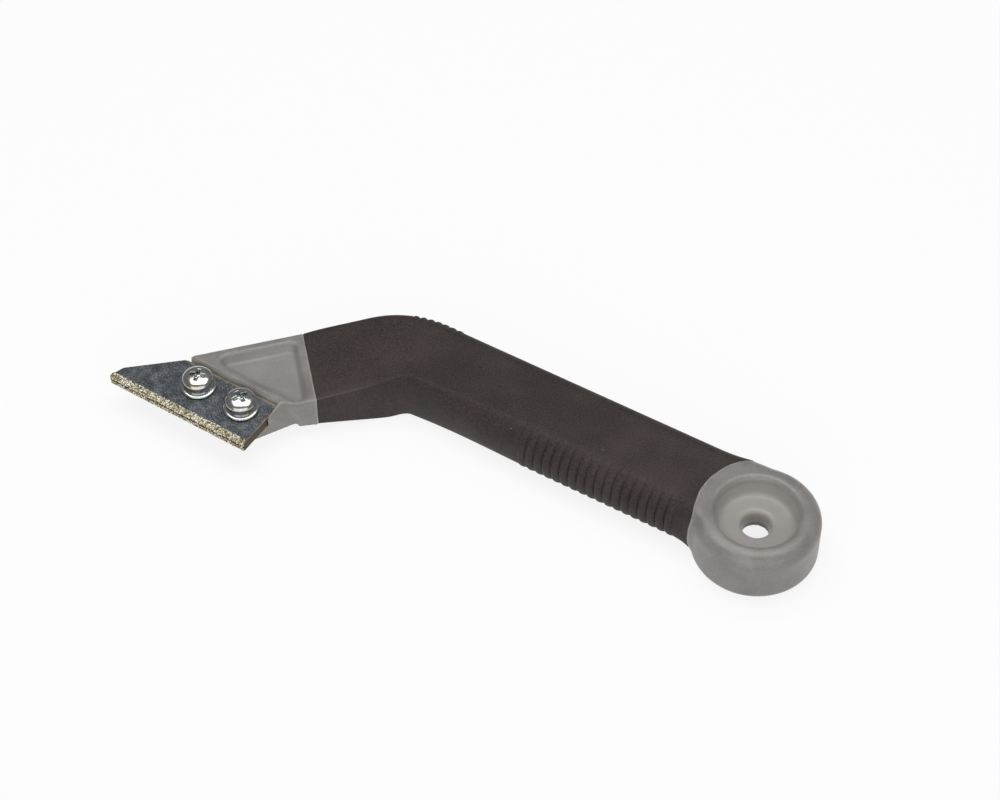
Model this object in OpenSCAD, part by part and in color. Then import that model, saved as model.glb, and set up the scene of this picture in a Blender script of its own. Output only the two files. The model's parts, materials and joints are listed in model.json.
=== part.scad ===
// Grout rake: a cranked hand tool with two stacked grit-edged blades screwed to its head.
// The origin is on the axis of the hanging hole, midway through the handle's thickness.
// +X runs along the handle towards the bend, +Y to the finger side, +Z up out of the flat side.

/* [Round end] */
// Diameter of the round end
disc_d = 37.6; // [36.6:0.2:44]
// Thickness of the round end and of the handle
body_t = 18; // [16:0.5:21]
// Width of the round end's rounded edges, seen from above
disc_edge_w = 4.8; // [3:0.2:5.4]
// Height of the round end's rounded edges, seen from the side
disc_edge_h = 4; // [2:0.2:5]
// Depth of the dish on each side
dish_depth = 6; // [4:0.2:6.6]
// Diameter of the dish at its floor
dish_floor_d = 22.4; // [18:0.2:24]
// Diameter of the dish at its rim
dish_rim_d = 27.6; // [26:0.2:27.8]
// Rounding of the dish's rim
dish_rim_r = 1.5; // [0.5:0.1:2]
// Rounding of the corner between the dish's wall and its floor
dish_floor_r = 1.2; // [0.4:0.1:2]
// Diameter of the hanging hole
hole_d = 8; // [6:0.25:10]
// Radius of the hanging hole's lips
hole_lip_r = 1; // [0.5:0.1:1.4]

/* [Grip] */
// Width of the grip, from the finger side to the back
grip_w = 30.4; // [29:0.2:33]
// Amount by which the finger side is drawn in at the bend
waist = 2; // [0:0.2:4]
// Distance from the hanging hole to where the finger side starts to draw in
waist_start = 68; // [50:1:90]
// Straight length from the hanging hole to the start of the bend
straight_len = 115.2; // [100:0.1:140]
// Angle of the bend
bend_angle = 46.5; // [35:0.5:55]
// Radius of the bend on its outside
bend_outer_r = 35.4; // [33:0.2:42]
// Softness of the crease inside the bend
bend_crease = 1.6; // [0.6:0.1:4]
// Width of the grip's rounded sides
side_round = 6.5; // [4:0.25:8]
// Exponent of the sides' curve: 2 is an ellipse, and more is fuller
side_full = 2; // [2:0.1:3]
// Exponent of the sides' curve at the round end
root_full = 3.1; // [2:0.1:4]
// Distance from the hanging hole to where the sides have their usual curve
full_end = 23; // [20:1:50]
// Width of the rounded side where the grip meets the head
end_round = 0.5; // [0.4:0.1:2]
// Fillet between the finger side and the round end
flare_r = 12; // [6:0.5:15]
// Width of the finger side's swell where the arm starts, over the grip's own width
arm_swell = 0.5; // [0:0.1:1]
// Length of arm over which it narrows and its top thins down to the head
thin_len = 30; // [20:1:36]
// Length over which the thinning sets in, before and after its start
thin_ease = 4; // [2:0.5:8]
// Radius of the curved joint with the grip, over the round end's own radius
joint_ease = 5; // [3:0.1:8]
// Distance by which the curved joint stands ahead of the round end at mid-height
joint_lead = 0.8; // [0.6:0.1:2]
// Amount by which the curved joint is drawn back at the flat faces
joint_belly = 1.5; // [0:0.1:1.6]
// Depth at which the grip's sides start inside the round end
root_sink = 0.3; // [0.2:0.05:0.6]

/* [Ribs] */
// Number of ribs on the finger side
finger_ribs = 18; // [10:1:19]
// Spacing of the finger ribs
finger_rib_pitch = 2.95; // [2.5:0.05:3.2]
// Distance from the hanging hole to the first finger rib
finger_rib_start = 21.5; // [20.5:0.5:30]
// Number of ribs on the outside of the bend
bend_ribs = 7; // [4:1:9]
// Spacing of the ribs on the bend, along the outside
bend_rib_pitch = 2.6; // [2.2:0.05:3]
// Distance from the first bend rib to the start of the bend
bend_rib_lead = 5.5; // [3:0.5:8]
// Height of a rib over its grooves
rib_h = 0.65; // [0.3:0.05:1]
// Depth of the grooves between ribs under the plain surface
rib_sink = 0.25; // [0:0.05:0.5]
// Exponent of a rib's rounding: 1 is a half wave, and less leaves narrower grooves
rib_crown = 0.5; // [0.3:0.1:1]
// Exponent with which the ribs fade out over the rounded side
rib_fade = 1.2; // [0.5:0.1:2]

/* [Tang] */
// Width of the tang inside the grip
tang_w = 18; // [12:0.5:20]
// Thickness of the tang
tang_t = 7; // [5:0.25:8]
// Wall between the dish and the root of the tang
tang_wall = 0.9; // [0.5:0.1:2]
// Number of anchor holes that the grip fills
anchor_count = 4; // [2:1:5]
// Diameter of an anchor hole
anchor_d = 7; // [4:0.5:9]
// Distance from the hanging hole to the first anchor hole
anchor_first = 30; // [26:1:40]
// Distance from the last anchor hole to the start of the bend
anchor_lead = 7.5; // [5:0.5:15]

/* [Head] */
// Thickness of the head at the collar
head_t = 10.7; // [10:0.1:12]
// Distance from the arm's centre line to the head's back wall
head_back = 13.2; // [12.2:0.1:14]
// Distance from the arm's centre line to the head's finger-side wall
head_front = 14.3; // [13.6:0.1:15]
// Length of arm between the bend and the collar, on the centre line
arm_len = 20.4; // [17:0.1:26]
// Slant of the joint between grip and collar
collar_slant = 4; // [0:0.5:10]
// Length of the collar on the finger side
collar_len = 6.2; // [5:0.2:8]
// Amount by which the blade pad is thinner than the collar underneath
pad_relief = 1.1; // [0.4:0.1:1.4]
// Distance along the arm from the collar's joint to the rear screw
seat_s = 23.3; // [22:0.1:26]
// Distance from the arm's centre line to the rear screw
seat_n = 9.5; // [8.5:0.1:10.2]
// Wall of the pad in front of the threaded inserts
pad_wall = 2; // [1.5:0.1:3]
// Amount by which the pad's front corner lies inside the blades' heel
pad_tuck = 3.6; // [2:0.1:4.5]
// Width of the ledge between the pad and the collar
collar_step = 0.6; // [0.3:0.1:1]
// Amount by which the step reaches past the blades' heel
step_over = 1.1; // [0.6:0.1:2]
// Distance from the collar's joint to the recessed panel
panel_start = 2.4; // [2:0.1:4]
// Width of the rim round the recessed panel
panel_rim = 2.6; // [2:0.1:3.2]
// Depth of the recessed panel
panel_depth = 2.7; // [1:0.1:3]
// Width of the panel's sloping wall
panel_draft = 1.2; // [0.6:0.1:1.6]
// Radius of the panel's corners
panel_corner_r = 2.2; // [1.5:0.1:2.6]

/* [Blades] */
// Length of the cutting edge
blade_len = 50.4; // [48:0.2:56]
// Height of a blade from back to cutting edge
blade_h = 18; // [16.5:0.25:20]
// Thickness of one blade
blade_t = 1.6; // [1.2:0.1:1.8]
// Height of the steep end at the tip
tip_h = 5; // [3:0.25:7]
// Amount by which the steep end leans back
tip_lean = 1.6; // [0:0.1:2.5]
// Length of the blade's back edge
blade_back = 34.9; // [33.5:0.1:37]
// Length of the small corner cut between the back edge and the slanted end
back_corner = 1; // [0.5:0.1:2]
// Height of that corner cut
back_corner_h = 0.4; // [0.2:0.1:1]
// Distance from the heel to the rear screw hole
hole_heel = 9; // [8:0.1:9.8]
// Distance from the back edge to the screw holes
hole_back = 6.6; // [6.2:0.1:7.5]
// Spacing of the two screws
screw_pitch = 16; // [14:0.25:18]
// Angle between the cutting edge and the handle
blade_tilt = 1.5; // [0:0.1:4]
// Width of the grit band on the blade's face
grit_band = 2; // [1:0.1:3]
// Thickness of the grit layer on the cutting edge
grit_t = 0.5; // [0.3:0.05:0.8]
// Thickness of the grit layer on the blade's face
grit_face_t = 0.2; // [0.1:0.05:0.4]

/* [Screws] */
// Nominal diameter of the screw thread
screw_d = 5; // [4:0.1:5.2]
// Length of the screw under its head
screw_len = 10; // [9:0.25:10.2]
// Diameter of the pan head
screw_head_d = 9.6; // [8.4:0.1:10]
// Height of the pan head
screw_head_h = 3.4; // [2.6:0.1:3.8]
// Height of the pan head's straight rim
screw_rim_h = 1.4; // [0.8:0.1:1.8]
// Depth of the cross recess
recess_depth = 2.2; // [1.2:0.1:2.4]
// Width of the cross recess's arms
recess_w = 1.3; // [0.8:0.1:1.6]
// Span of the cross recess
recess_span = 5; // [4:0.1:5.4]
// Angle at which the front screw's cross recess stands
front_recess_turn = 20; // [0:1:89]
// Angle at which the rear screw's cross recess stands
rear_recess_turn = 65; // [0:1:89]
// Outside diameter of the spring washer
spring_washer_d = 9; // [8:0.1:9.4]
// Thickness of the spring washer
spring_washer_t = 1.2; // [0.8:0.1:1.4]
// Angle of the split in the spring washer
spring_washer_gap = 9; // [5:1:14]
// Direction of that split, from the blades' cutting edge
spring_washer_turn = 30; // [0:5:90]
// Outside diameter of the flat washer
flat_washer_d = 11; // [9.6:0.1:11.4]
// Thickness of the flat washer
flat_washer_t = 1; // [0.8:0.1:1.2]
// Outside diameter of the threaded insert
insert_d = 7; // [6.4:0.1:7.6]
// Depth of the insert's retaining groove
insert_groove = 0.4; // [0.2:0.05:0.6]

/* [Fits] */
// Radial clearance of the screw in its insert
thread_clear = 0.06; // [0.03:0.01:0.1]
// Radial clearance of the screw in the blades and washers
hole_clear = 0.25; // [0.15:0.05:0.4]
// Gap between the blades' back edge and the head's step
step_gap = 0.3; // [0.2:0.05:0.6]

/* [Hidden] */

$fn = 64;
// Overshoot of cutting shapes past the faces they cut
past = 1;
// Thickness of the thin slices that hulls span
slice = 0.01;

// The handle's back lies on a tangent of the round end
disc_r = disc_d / 2;
joint_r = disc_r + joint_ease;
joint_x = disc_r + joint_lead;
half_t = body_t / 2;
dish_floor_z = half_t - dish_depth;
grip_mid_y = grip_w / 2 - disc_r;
finger_y = grip_mid_y + grip_w / 2;
bend_mid_r = bend_outer_r - grip_w / 2;
bend_x = straight_len;
bend_y = grip_mid_y + bend_mid_r;
bend_len = bend_mid_r * bend_angle * PI / 180;
bend_end = straight_len + bend_len;
arm_x = bend_x + bend_mid_r * sin(bend_angle);
arm_y = bend_y - bend_mid_r * cos(bend_angle);
grip_end = bend_end + arm_len;
// End of the collar on the finger side, from the end of the bend
collar_end = joint_s(head_front) + collar_len;
// The sleeve is drawn past the collar's slanted joint, which then cuts it
sleeve_cut = grip_end + head_front * tan(collar_slant) + past;

// Heights in the head, from the middle plane on which the lower blade lies
head_top = head_t / 2;
pad_bottom = pad_relief - head_t / 2;
blades_top = 2 * blade_t;
washer_z = blades_top;
spring_z = washer_z + flat_washer_t;
head_z = spring_z + spring_washer_t;
screw_r = screw_d / 2;
hole_r = screw_r + hole_clear;

// The rear screw in the arm's frame, and the blade's direction there
rear_s = arm_len + seat_s;
rear_n = seat_n;
blade_turn = bend_angle + blade_tilt;
edge_w = blade_h - hole_back;
back_w = -hole_back;
step_w = back_w - step_gap;
heel_u = -hole_heel - step_gap;
// The pad's front edge leaves the cutting edges standing clear, and its heel corner is tucked under them
pad_front = insert_d / 2 + pad_wall;

function mix(a, b, k) = a + (b - a) * k;
function clamp01(k) = min(1, max(0, k));
function ease(k) = let (c = clamp01(k)) c * c * (3 - 2 * c);

// Stations run along the grip's centre line: straight, then round the bend, then along the arm
function turn_at(t) = bend_angle * clamp01((t - straight_len) / bend_len);
function place(t, n, z) =
    let (a = turn_at(t), r = bend_mid_r - n, past_bend = max(0, t - bend_end))
    t <= straight_len
        ? [t, grip_mid_y + n, z]
        : [bend_x + r * sin(a) + past_bend * cos(a), bend_y - r * cos(a) + past_bend * sin(a), z];

// The same point's distance along the arm, from the end of the bend
function arm_s(t, n) =
    t > bend_end
        ? t - bend_end
        : (n - bend_mid_r) * sin(bend_angle - turn_at(t)) - max(0, straight_len - t) * cos(bend_angle);

// Section sizes along the grip
// The top slopes down to the head along the arm, and the underside slopes to the far end of the collar
function ramp(d) = d < -thin_ease ? 0 : d > thin_ease ? d : pow(d + thin_ease, 2) / (4 * thin_ease);
function thinned(d, length) = max(head_top, mix(half_t, head_top, ramp(d) / length));
function top_z(s) = thinned(s - arm_len + thin_len, thin_len);
function under_z(s) = thinned(s, collar_end);
function arm_share(t) = clamp01((t - grip_end + thin_len) / thin_len);
function fullness(t) = mix(root_full, side_full, ease((t - flare_end) / (full_end - flare_end)));
// The fillet leaves the finger side at flare_x and dips into the round end at flare_end
root_r = disc_r - root_sink;
flare_x = sqrt(pow(root_r + flare_r, 2) - pow(finger_y + flare_r, 2));
flare_end = flare_x * root_r / (root_r + flare_r);
function flare(t) =
    t > flare_x ? 0
    : t > flare_end ? flare_r - sqrt(pow(flare_r, 2) - pow(flare_x - t, 2))
    : sqrt(pow(root_r, 2) - pow(t, 2)) - finger_y;
function back_sink(t) = root_sink * (1 - ease(t / flare_end));
function waist_n(t) = grip_w / 2 - waist * ease((t - waist_start) / (straight_len - waist_start));
// Inside the bend two straight lines cross in a soft crease: the handle's finger side and the arm's
arm_lean = (grip_w / 2 + arm_swell - head_front) / thin_len;
arm_root_n = head_front + arm_lean * arm_len;
function handle_line(t) = bend_mid_r - (bend_mid_r - waist_n(t)) / cos(turn_at(t));
function bend_line(t) =
    let (b = bend_angle - turn_at(t))
    bend_mid_r - (bend_mid_r - arm_root_n) / (cos(b) + arm_lean * sin(b));
function arm_line(t) =
    t > bend_end
        ? head_front + arm_lean * max(0, grip_end - t)
        : bend_line(t) - max(0, straight_len - t) * tan(bend_angle);
function soft_max(a, b, soft) = max(a, b) + pow(max(0, soft - abs(a - b)), 2) / (4 * soft);
function finger_n(t) = soft_max(handle_line(t), arm_line(t), bend_crease) + flare(t);
function back_n(t) = mix(grip_w / 2, head_back, arm_share(t)) - back_sink(t);
function finger_round(t) = mix(side_round, end_round, ease((t - waist_start) / (bend_end - waist_start)));
function back_round(t) = mix(side_round, end_round, ease((t - straight_len) / (grip_end - straight_len)));

// Ribs are flat humps with sharp, narrow grooves between them
finger_rib_end = finger_rib_start + finger_ribs * finger_rib_pitch;
bend_rib_start = straight_len - bend_rib_lead;
bend_rib_end = bend_rib_start + bend_ribs * bend_rib_pitch;
outside_ratio = bend_outer_r / bend_mid_r;
function outside_len(t) = t < straight_len ? t : straight_len + (t - straight_len) * outside_ratio;
function station_of(f) = f < straight_len ? f : straight_len + (f - straight_len) / outside_ratio;
function hump(d, pitch, count) =
    d <= 0 || d >= pitch * count ? 0 : rib_h * pow(abs(sin(180 * d / pitch)), rib_crown) - rib_sink;
function finger_rib(t) = hump(t - finger_rib_start, finger_rib_pitch, finger_ribs);
function bend_rib(t) = hump(outside_len(t) - bend_rib_start, bend_rib_pitch, bend_ribs);

// One closed section of the grip: two rounded sides joined by flat faces
finger_steps = 12;
back_steps = 10;
function side_point(t, side, k, steps, rib) =
    let (
        a = 90 - 180 * k / steps,
        edge = side > 0 ? finger_n(t) : back_n(t),
        rounding = side > 0 ? finger_round(t) : back_round(t),
        flat = side * (edge - rounding),
        s = arm_s(t, flat),
        out = rounding * pow(cos(a), 2 / fullness(t)) + rib * pow(cos(a), rib_fade),
        rise = pow(abs(sin(a)), 2 / fullness(t))
    )
    [flat + side * out, a > 0 ? rise * top_z(s) : -rise * under_z(s)];
function section(t, ribbed) = concat(
    [for (k = [0:finger_steps]) side_point(t, 1, k, finger_steps, ribbed ? finger_rib(t) : 0)],
    [for (k = [back_steps:-1:0]) side_point(t, -1, k, back_steps, ribbed ? bend_rib(t) : 0)]
);
ring_size = finger_steps + back_steps + 2;

// A skin over sections, closed at both ends
module loft(stations, ribbed) {
    rings = [for (t = stations) [for (p = section(t, ribbed)) place(t, p[0], p[1])]];
    count = len(stations);
    points = [for (ring = rings) each ring];
    sides = [
        for (i = [0:count - 2], j = [0:ring_size - 1])
            let (
                j2 = (j + 1) % ring_size,
                a = i * ring_size + j, b = i * ring_size + j2,
                c = (i + 1) * ring_size + j2, d = (i + 1) * ring_size + j
            )
            each [[a, b, c], [a, c, d]]
    ];
    first = [for (j = [ring_size - 1:-1:0]) j];
    last = [for (j = [0:ring_size - 1]) (count - 1) * ring_size + j];
    polyhedron(points = points, faces = concat(sides, [first], [last]), convexity = 6);
}

// Stations are close together where the form changes quickly
rib_samples = 4;
flare_steps = 6;
plain_steps = 5;
flare_stations = [for (k = [0:flare_steps]) mix(flare_end, flare_x, k / flare_steps)];
neck_stations = concat([0, flare_end / 2], flare_stations, [joint_x + past]);
grip_stations = concat(
    [disc_r / 2],
    flare_stations,
    [for (k = [0:finger_ribs * rib_samples]) finger_rib_start + k * finger_rib_pitch / rib_samples],
    [for (k = [1:plain_steps - 1]) mix(finger_rib_end, bend_rib_start, k / plain_steps)],
    [for (k = [0:bend_ribs * rib_samples]) station_of(bend_rib_start + k * bend_rib_pitch / rib_samples)],
    [for (k = [1:plain_steps]) mix(station_of(bend_rib_end), bend_end, k / plain_steps)],
    [for (k = [1:plain_steps]) mix(bend_end, sleeve_cut, k / plain_steps)]
);

module arm_frame() {
    translate([arm_x, arm_y, 0]) rotate([0, 0, bend_angle]) children();
}

// Blade frame: x along the cutting edge to the tip, y towards the edge, origin on the rear screw
module blade_frame() {
    arm_frame() translate([rear_s, rear_n, 0]) rotate([0, 0, -blade_turn]) children();
}

module front_place() {
    blade_frame() translate([screw_pitch, 0, 0]) children();
}

module rear_place() {
    blade_frame() children();
}

// Points of the blade's frame, given in the arm's frame
function from_blade(u, w) = [
    rear_s + u * cos(blade_turn) + w * sin(blade_turn),
    rear_n - u * sin(blade_turn) + w * cos(blade_turn)
];
// Where a line parallel to the blade at height w crosses a line parallel to the arm at n
function cross_at(w, n) =
    let (p = from_blade(0, w), u = (p[1] - n) / sin(blade_turn)) [p[0] + u * cos(blade_turn), n];
// The collar's slanted joint, where it crosses n
function joint_s(n) = arm_len + n * tan(collar_slant);

// The curved joint between round end and grip, which bulges towards the grip at mid-height
joint_steps = 12;
joint_half = half_t + past;
module joint_barrel() {
    belly = [
        for (k = [-joint_steps:joint_steps])
            let (z = joint_half * k / joint_steps) [joint_r - joint_belly * pow(z / half_t, 2), z]
    ];
    translate([joint_x - joint_r, 0, 0])
        rotate_extrude() polygon(concat([[0, -joint_half]], belly, [[0, joint_half]]));
}

// Round end: a rounded disc with a dish on each face
// The dish's wall is a straight slope between two arcs, at its floor and at its rim
rim_rise = dish_depth - dish_rim_r;
rim_run = (dish_rim_d - dish_floor_d) / 2;
dish_slope = atan2(rim_rise, rim_run) + asin(dish_rim_r / norm([rim_rise, rim_run]));
dish_steps = 6;
floor_arc_x = dish_floor_d / 2 - dish_floor_r * tan(dish_slope / 2);
function floor_arc(a) = [floor_arc_x + dish_floor_r * sin(a), dish_floor_z + dish_floor_r * (1 - cos(a))];
function rim_arc(a) = [dish_rim_d / 2 - dish_rim_r * sin(a), half_t - dish_rim_r * (1 - cos(a))];

module dish_cut() {
    rotate_extrude()
        polygon(concat(
            [[0, dish_floor_z]],
            [for (k = [0:dish_steps]) floor_arc(dish_slope * k / dish_steps)],
            [for (k = [dish_steps:-1:0]) rim_arc(dish_slope * k / dish_steps)],
            [[dish_rim_d / 2, half_t + past], [0, half_t + past]]
        ));
}

edge_steps = 8;
function disc_edge(k) = [
    disc_r - disc_edge_w * (1 - cos(90 * k)),
    half_t - disc_edge_h * (1 - sin(90 * k))
];

module disc_solid() {
    upper = [for (k = [0:edge_steps]) disc_edge(k / edge_steps)];
    lower = [for (k = [edge_steps:-1:0]) let (p = disc_edge(k / edge_steps)) [p[0], -p[1]]];
    rotate_extrude() polygon(concat([[0, -half_t]], lower, upper, [[0, half_t]]));
}

// The hanging hole with a rounded lip on both sides of the web
module hanging_hole() {
    cylinder(h = 2 * dish_floor_z + 2 * past, d = hole_d, center = true);
    for (side = [0, 1])
        mirror([0, 0, side])
            rotate_extrude()
                difference() {
                    translate([0, dish_floor_z - hole_lip_r])
                        square([hole_d / 2 + hole_lip_r, hole_lip_r + past]);
                    translate([hole_d / 2 + hole_lip_r, dish_floor_z - hole_lip_r]) circle(hole_lip_r);
                }
}

// Tang: a flat bar along the grip's centre line, pierced so that the grip locks on to it
tang_steps = 10;
tang_line = concat(
    [dish_rim_d / 2 + tang_wall],
    [for (k = [0:tang_steps]) straight_len + bend_len * k / tang_steps],
    [sleeve_cut]
);
anchor_step = (straight_len - anchor_lead - anchor_first) / (anchor_count - 1);

function tang_point(i, side) = let (p = place(tang_line[i], side * tang_w / 2, 0)) [p[0], p[1]];

module tang() {
    last = len(tang_line) - 1;
    difference() {
        translate([0, 0, -tang_t / 2])
            linear_extrude(tang_t)
                polygon(concat(
                    [for (i = [0:last]) tang_point(i, 1)],
                    [for (i = [last:-1:0]) tang_point(i, -1)]
                ));
        for (i = [0:anchor_count - 1])
            translate([anchor_first + i * anchor_step, grip_mid_y, 0])
                cylinder(h = tang_t + 2 * past, d = anchor_d, center = true);
    }
}

// Head outline in the arm's frame: collar joint, back wall, step beside the blades, finger-side wall
step_end = from_blade(heel_u - step_over, step_w);
head_outline = [
    [joint_s(-head_back), -head_back],
    cross_at(step_w, -head_back),
    step_end,
    [collar_end, head_front],
    [joint_s(head_front), head_front]
];
collar_outline = [
    [joint_s(-head_back), -head_back],
    [joint_s(-head_back) + collar_len, -head_back],
    [collar_end, head_front],
    [joint_s(head_front), head_front]
];
// The pad under the blades
pad_heel = [heel_u + pad_tuck, pad_front];
pad_near = [collar_end + collar_step, head_front - collar_step];
pad_outline = [
    [joint_s(-head_back) + past, -head_back],
    cross_at(pad_front, -head_back),
    from_blade(pad_heel[0], pad_heel[1]),
    step_end,
    [collar_end, head_front - collar_step],
    [joint_s(head_front) + past, head_front - collar_step]
];
panel_back = panel_rim - head_back;
panel_front = head_front - panel_rim / 2;
panel_outline = [
    [joint_s(panel_back) + panel_start, panel_back],
    cross_at(step_w - panel_rim, panel_back),
    cross_at(step_w - panel_rim, panel_front),
    [joint_s(panel_front) + panel_start, panel_front]
];

// Sloping wall from the end of the step and the blades' heel down to the pad's edge
module heel_stop() {
    hull() {
        translate([0, 0, head_top - slice])
            linear_extrude(slice) polygon([step_end, from_blade(0, step_w), from_blade(0, step_w - past)]);
        translate([0, 0, blades_top - slice])
            linear_extrude(slice) polygon([step_end, from_blade(heel_u, 0), from_blade(0, step_w)]);
        translate([0, 0, pad_bottom])
            linear_extrude(slice)
                polygon([pad_near, from_blade(0, step_w), from_blade(pad_heel[0], pad_heel[1])]);
    }
}

// Room for the blades: everything over the seat, past the step and the heel
module blade_pocket() {
    rotate([0, 0, -blade_turn])
        translate([heel_u, step_w, 0]) cube([2 * blade_len, 2 * blade_h, body_t]);
}

module rounded_panel(inset) {
    offset(r = panel_corner_r - inset) offset(delta = -panel_corner_r) polygon(panel_outline);
}

module panel_cut() {
    hull() {
        translate([0, 0, head_top - panel_depth]) linear_extrude(slice) rounded_panel(panel_draft);
        translate([0, 0, head_top]) linear_extrude(past) rounded_panel(0);
    }
}

// The collar carries the slope of the arm's underside on to its far end
module collar() {
    intersection() {
        translate([0, 0, -half_t]) linear_extrude(half_t + head_top) polygon(collar_outline);
        rotate([90, 0, 0])
            linear_extrude(2 * grip_w, center = true)
                polygon([[0, -half_t], [collar_end, -head_top], [collar_end, head_top], [0, head_top]]);
    }
}

module head_block() {
    difference() {
        union() {
            translate([0, 0, pad_bottom]) linear_extrude(head_top - pad_bottom) polygon(head_outline);
            translate([0, 0, pad_bottom]) linear_extrude(-pad_bottom) polygon(pad_outline);
            collar();
            heel_stop();
        }
        panel_cut();
        translate([rear_s, rear_n, 0]) blade_pocket();
    }
}

module handle_core() {
    color("#8E8A86") difference() {
        union() {
            disc_solid();
            intersection() {
                loft(neck_stations, false);
                joint_barrel();
            }
            tang();
            arm_frame() head_block();
        }
        dish_cut();
        mirror([0, 0, 1]) dish_cut();
        hanging_hole();
        front_place() insert_body();
        rear_place() insert_body();
    }
}

module grip_sleeve() {
    color("#3A3332") difference() {
        loft(grip_stations, true);
        joint_barrel();
        tang();
        arm_frame()
            translate([arm_len, 0, 0])
                rotate([0, 0, -collar_slant])
                    translate([0, -grip_w, -body_t]) cube([grip_w, 2 * grip_w, 2 * body_t]);
    }
}

// One blade plate, lying in the blade frame with its underside at z = 0
slant_h = blade_h - tip_h;
module blade_plate() {
    difference() {
        translate([-hole_heel, back_w, 0])
            linear_extrude(blade_t)
                polygon([
                    [0, 0],
                    [blade_back - back_corner, 0],
                    [blade_back, back_corner_h],
                    [blade_len - tip_lean, slant_h],
                    [blade_len, blade_h - grit_t],
                    [0, blade_h - grit_t]
                ]);
        for (u = [0, screw_pitch])
            translate([u, 0, -past]) cylinder(h = blade_t + 2 * past, r = hole_r);
    }
}

// Grit layer: over the cutting edge and a band of the outer face
module grit_layer() {
    translate([-hole_heel, edge_w, 0])
        rotate([90, 0, 90])
            linear_extrude(blade_len)
                polygon([
                    [-grit_t, 0],
                    [0, 0],
                    [0, blade_t + grit_face_t],
                    [-grit_band, blade_t + grit_face_t],
                    [-grit_band, blade_t],
                    [-grit_t, blade_t]
                ]);
}

module upper_blade() {
    color("#6E7378") blade_frame() translate([0, 0, blade_t]) blade_plate();
}

module lower_blade() {
    color("#6E7378") blade_frame() blade_plate();
}

module upper_grit_edge() {
    color("#A89A7C") blade_frame() translate([0, 0, blade_t]) grit_layer();
}

module lower_grit_edge() {
    color("#A89A7C") blade_frame() translate([0, 0, blade_t]) mirror([0, 0, 1]) grit_layer();
}

// Brass insert moulded into the pad, with a groove round its middle
insert_len = -pad_bottom;
module insert_body() {
    mid = pad_bottom / 2;
    groove_w = insert_len / 4;
    difference() {
        translate([0, 0, pad_bottom]) cylinder(h = insert_len, d = insert_d);
        translate([0, 0, mid - groove_w / 2])
            difference() {
                cylinder(h = groove_w, d = insert_d + 2 * past);
                translate([0, 0, -past]) cylinder(h = groove_w + 2 * past, d = insert_d - 2 * insert_groove);
            }
    }
}

module insert() {
    color("#B08D4A") difference() {
        insert_body();
        translate([0, 0, pad_bottom - past]) cylinder(h = 2 * past - pad_bottom, r = screw_r + thread_clear);
    }
}

module front_insert() {
    front_place() insert();
}

module rear_insert() {
    rear_place() insert();
}

module flat_washer() {
    color("#B9BABB") translate([0, 0, washer_z]) difference() {
        cylinder(h = flat_washer_t, d = flat_washer_d);
        translate([0, 0, -past]) cylinder(h = flat_washer_t + 2 * past, r = hole_r);
    }
}

module front_flat_washer() {
    front_place() flat_washer();
}

module rear_flat_washer() {
    rear_place() flat_washer();
}

// Split spring washer, pressed flat
module spring_washer() {
    color("#A7A9AB") translate([0, 0, spring_z])
        rotate([0, 0, spring_washer_turn + spring_washer_gap / 2])
            rotate_extrude(angle = 360 - spring_washer_gap)
                translate([hole_r, 0]) square([spring_washer_d / 2 - hole_r, spring_washer_t]);
}

module front_spring_washer() {
    front_place() spring_washer();
}

module rear_spring_washer() {
    rear_place() spring_washer();
}

// Pan head screw with a cross recess
dome_steps = 6;
function dome(k) = [
    screw_head_d / 2 * cos(90 * k),
    screw_rim_h + (screw_head_h - screw_rim_h) * sin(90 * k)
];
module screw() {
    color("#C9CBCD") difference() {
        union() {
            translate([0, 0, head_z])
                rotate_extrude()
                    polygon(concat(
                        [[0, 0], [screw_head_d / 2, 0]],
                        [for (k = [0:dome_steps]) dome(k / dome_steps)]
                    ));
            translate([0, 0, head_z - screw_len]) cylinder(h = screw_len, r = screw_r);
        }
        translate([0, 0, head_z + screw_head_h - recess_depth])
            for (turn = [0, 90])
                rotate([0, 0, turn]) translate([-recess_span / 2, -recess_w / 2, 0])
                    cube([recess_span, recess_w, recess_depth + past]);
    }
}

module front_screw() {
    front_place() rotate([0, 0, front_recess_turn]) screw();
}

module rear_screw() {
    rear_place() rotate([0, 0, rear_recess_turn]) screw();
}

handle_core();
grip_sleeve();
lower_blade();
upper_blade();
lower_grit_edge();
upper_grit_edge();
front_insert();
rear_insert();
front_flat_washer();
rear_flat_washer();
front_spring_washer();
rear_spring_washer();
front_screw();
rear_screw();
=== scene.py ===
import json
import math

import bmesh
import bpy
from mathutils import Matrix, Vector, noise


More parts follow.
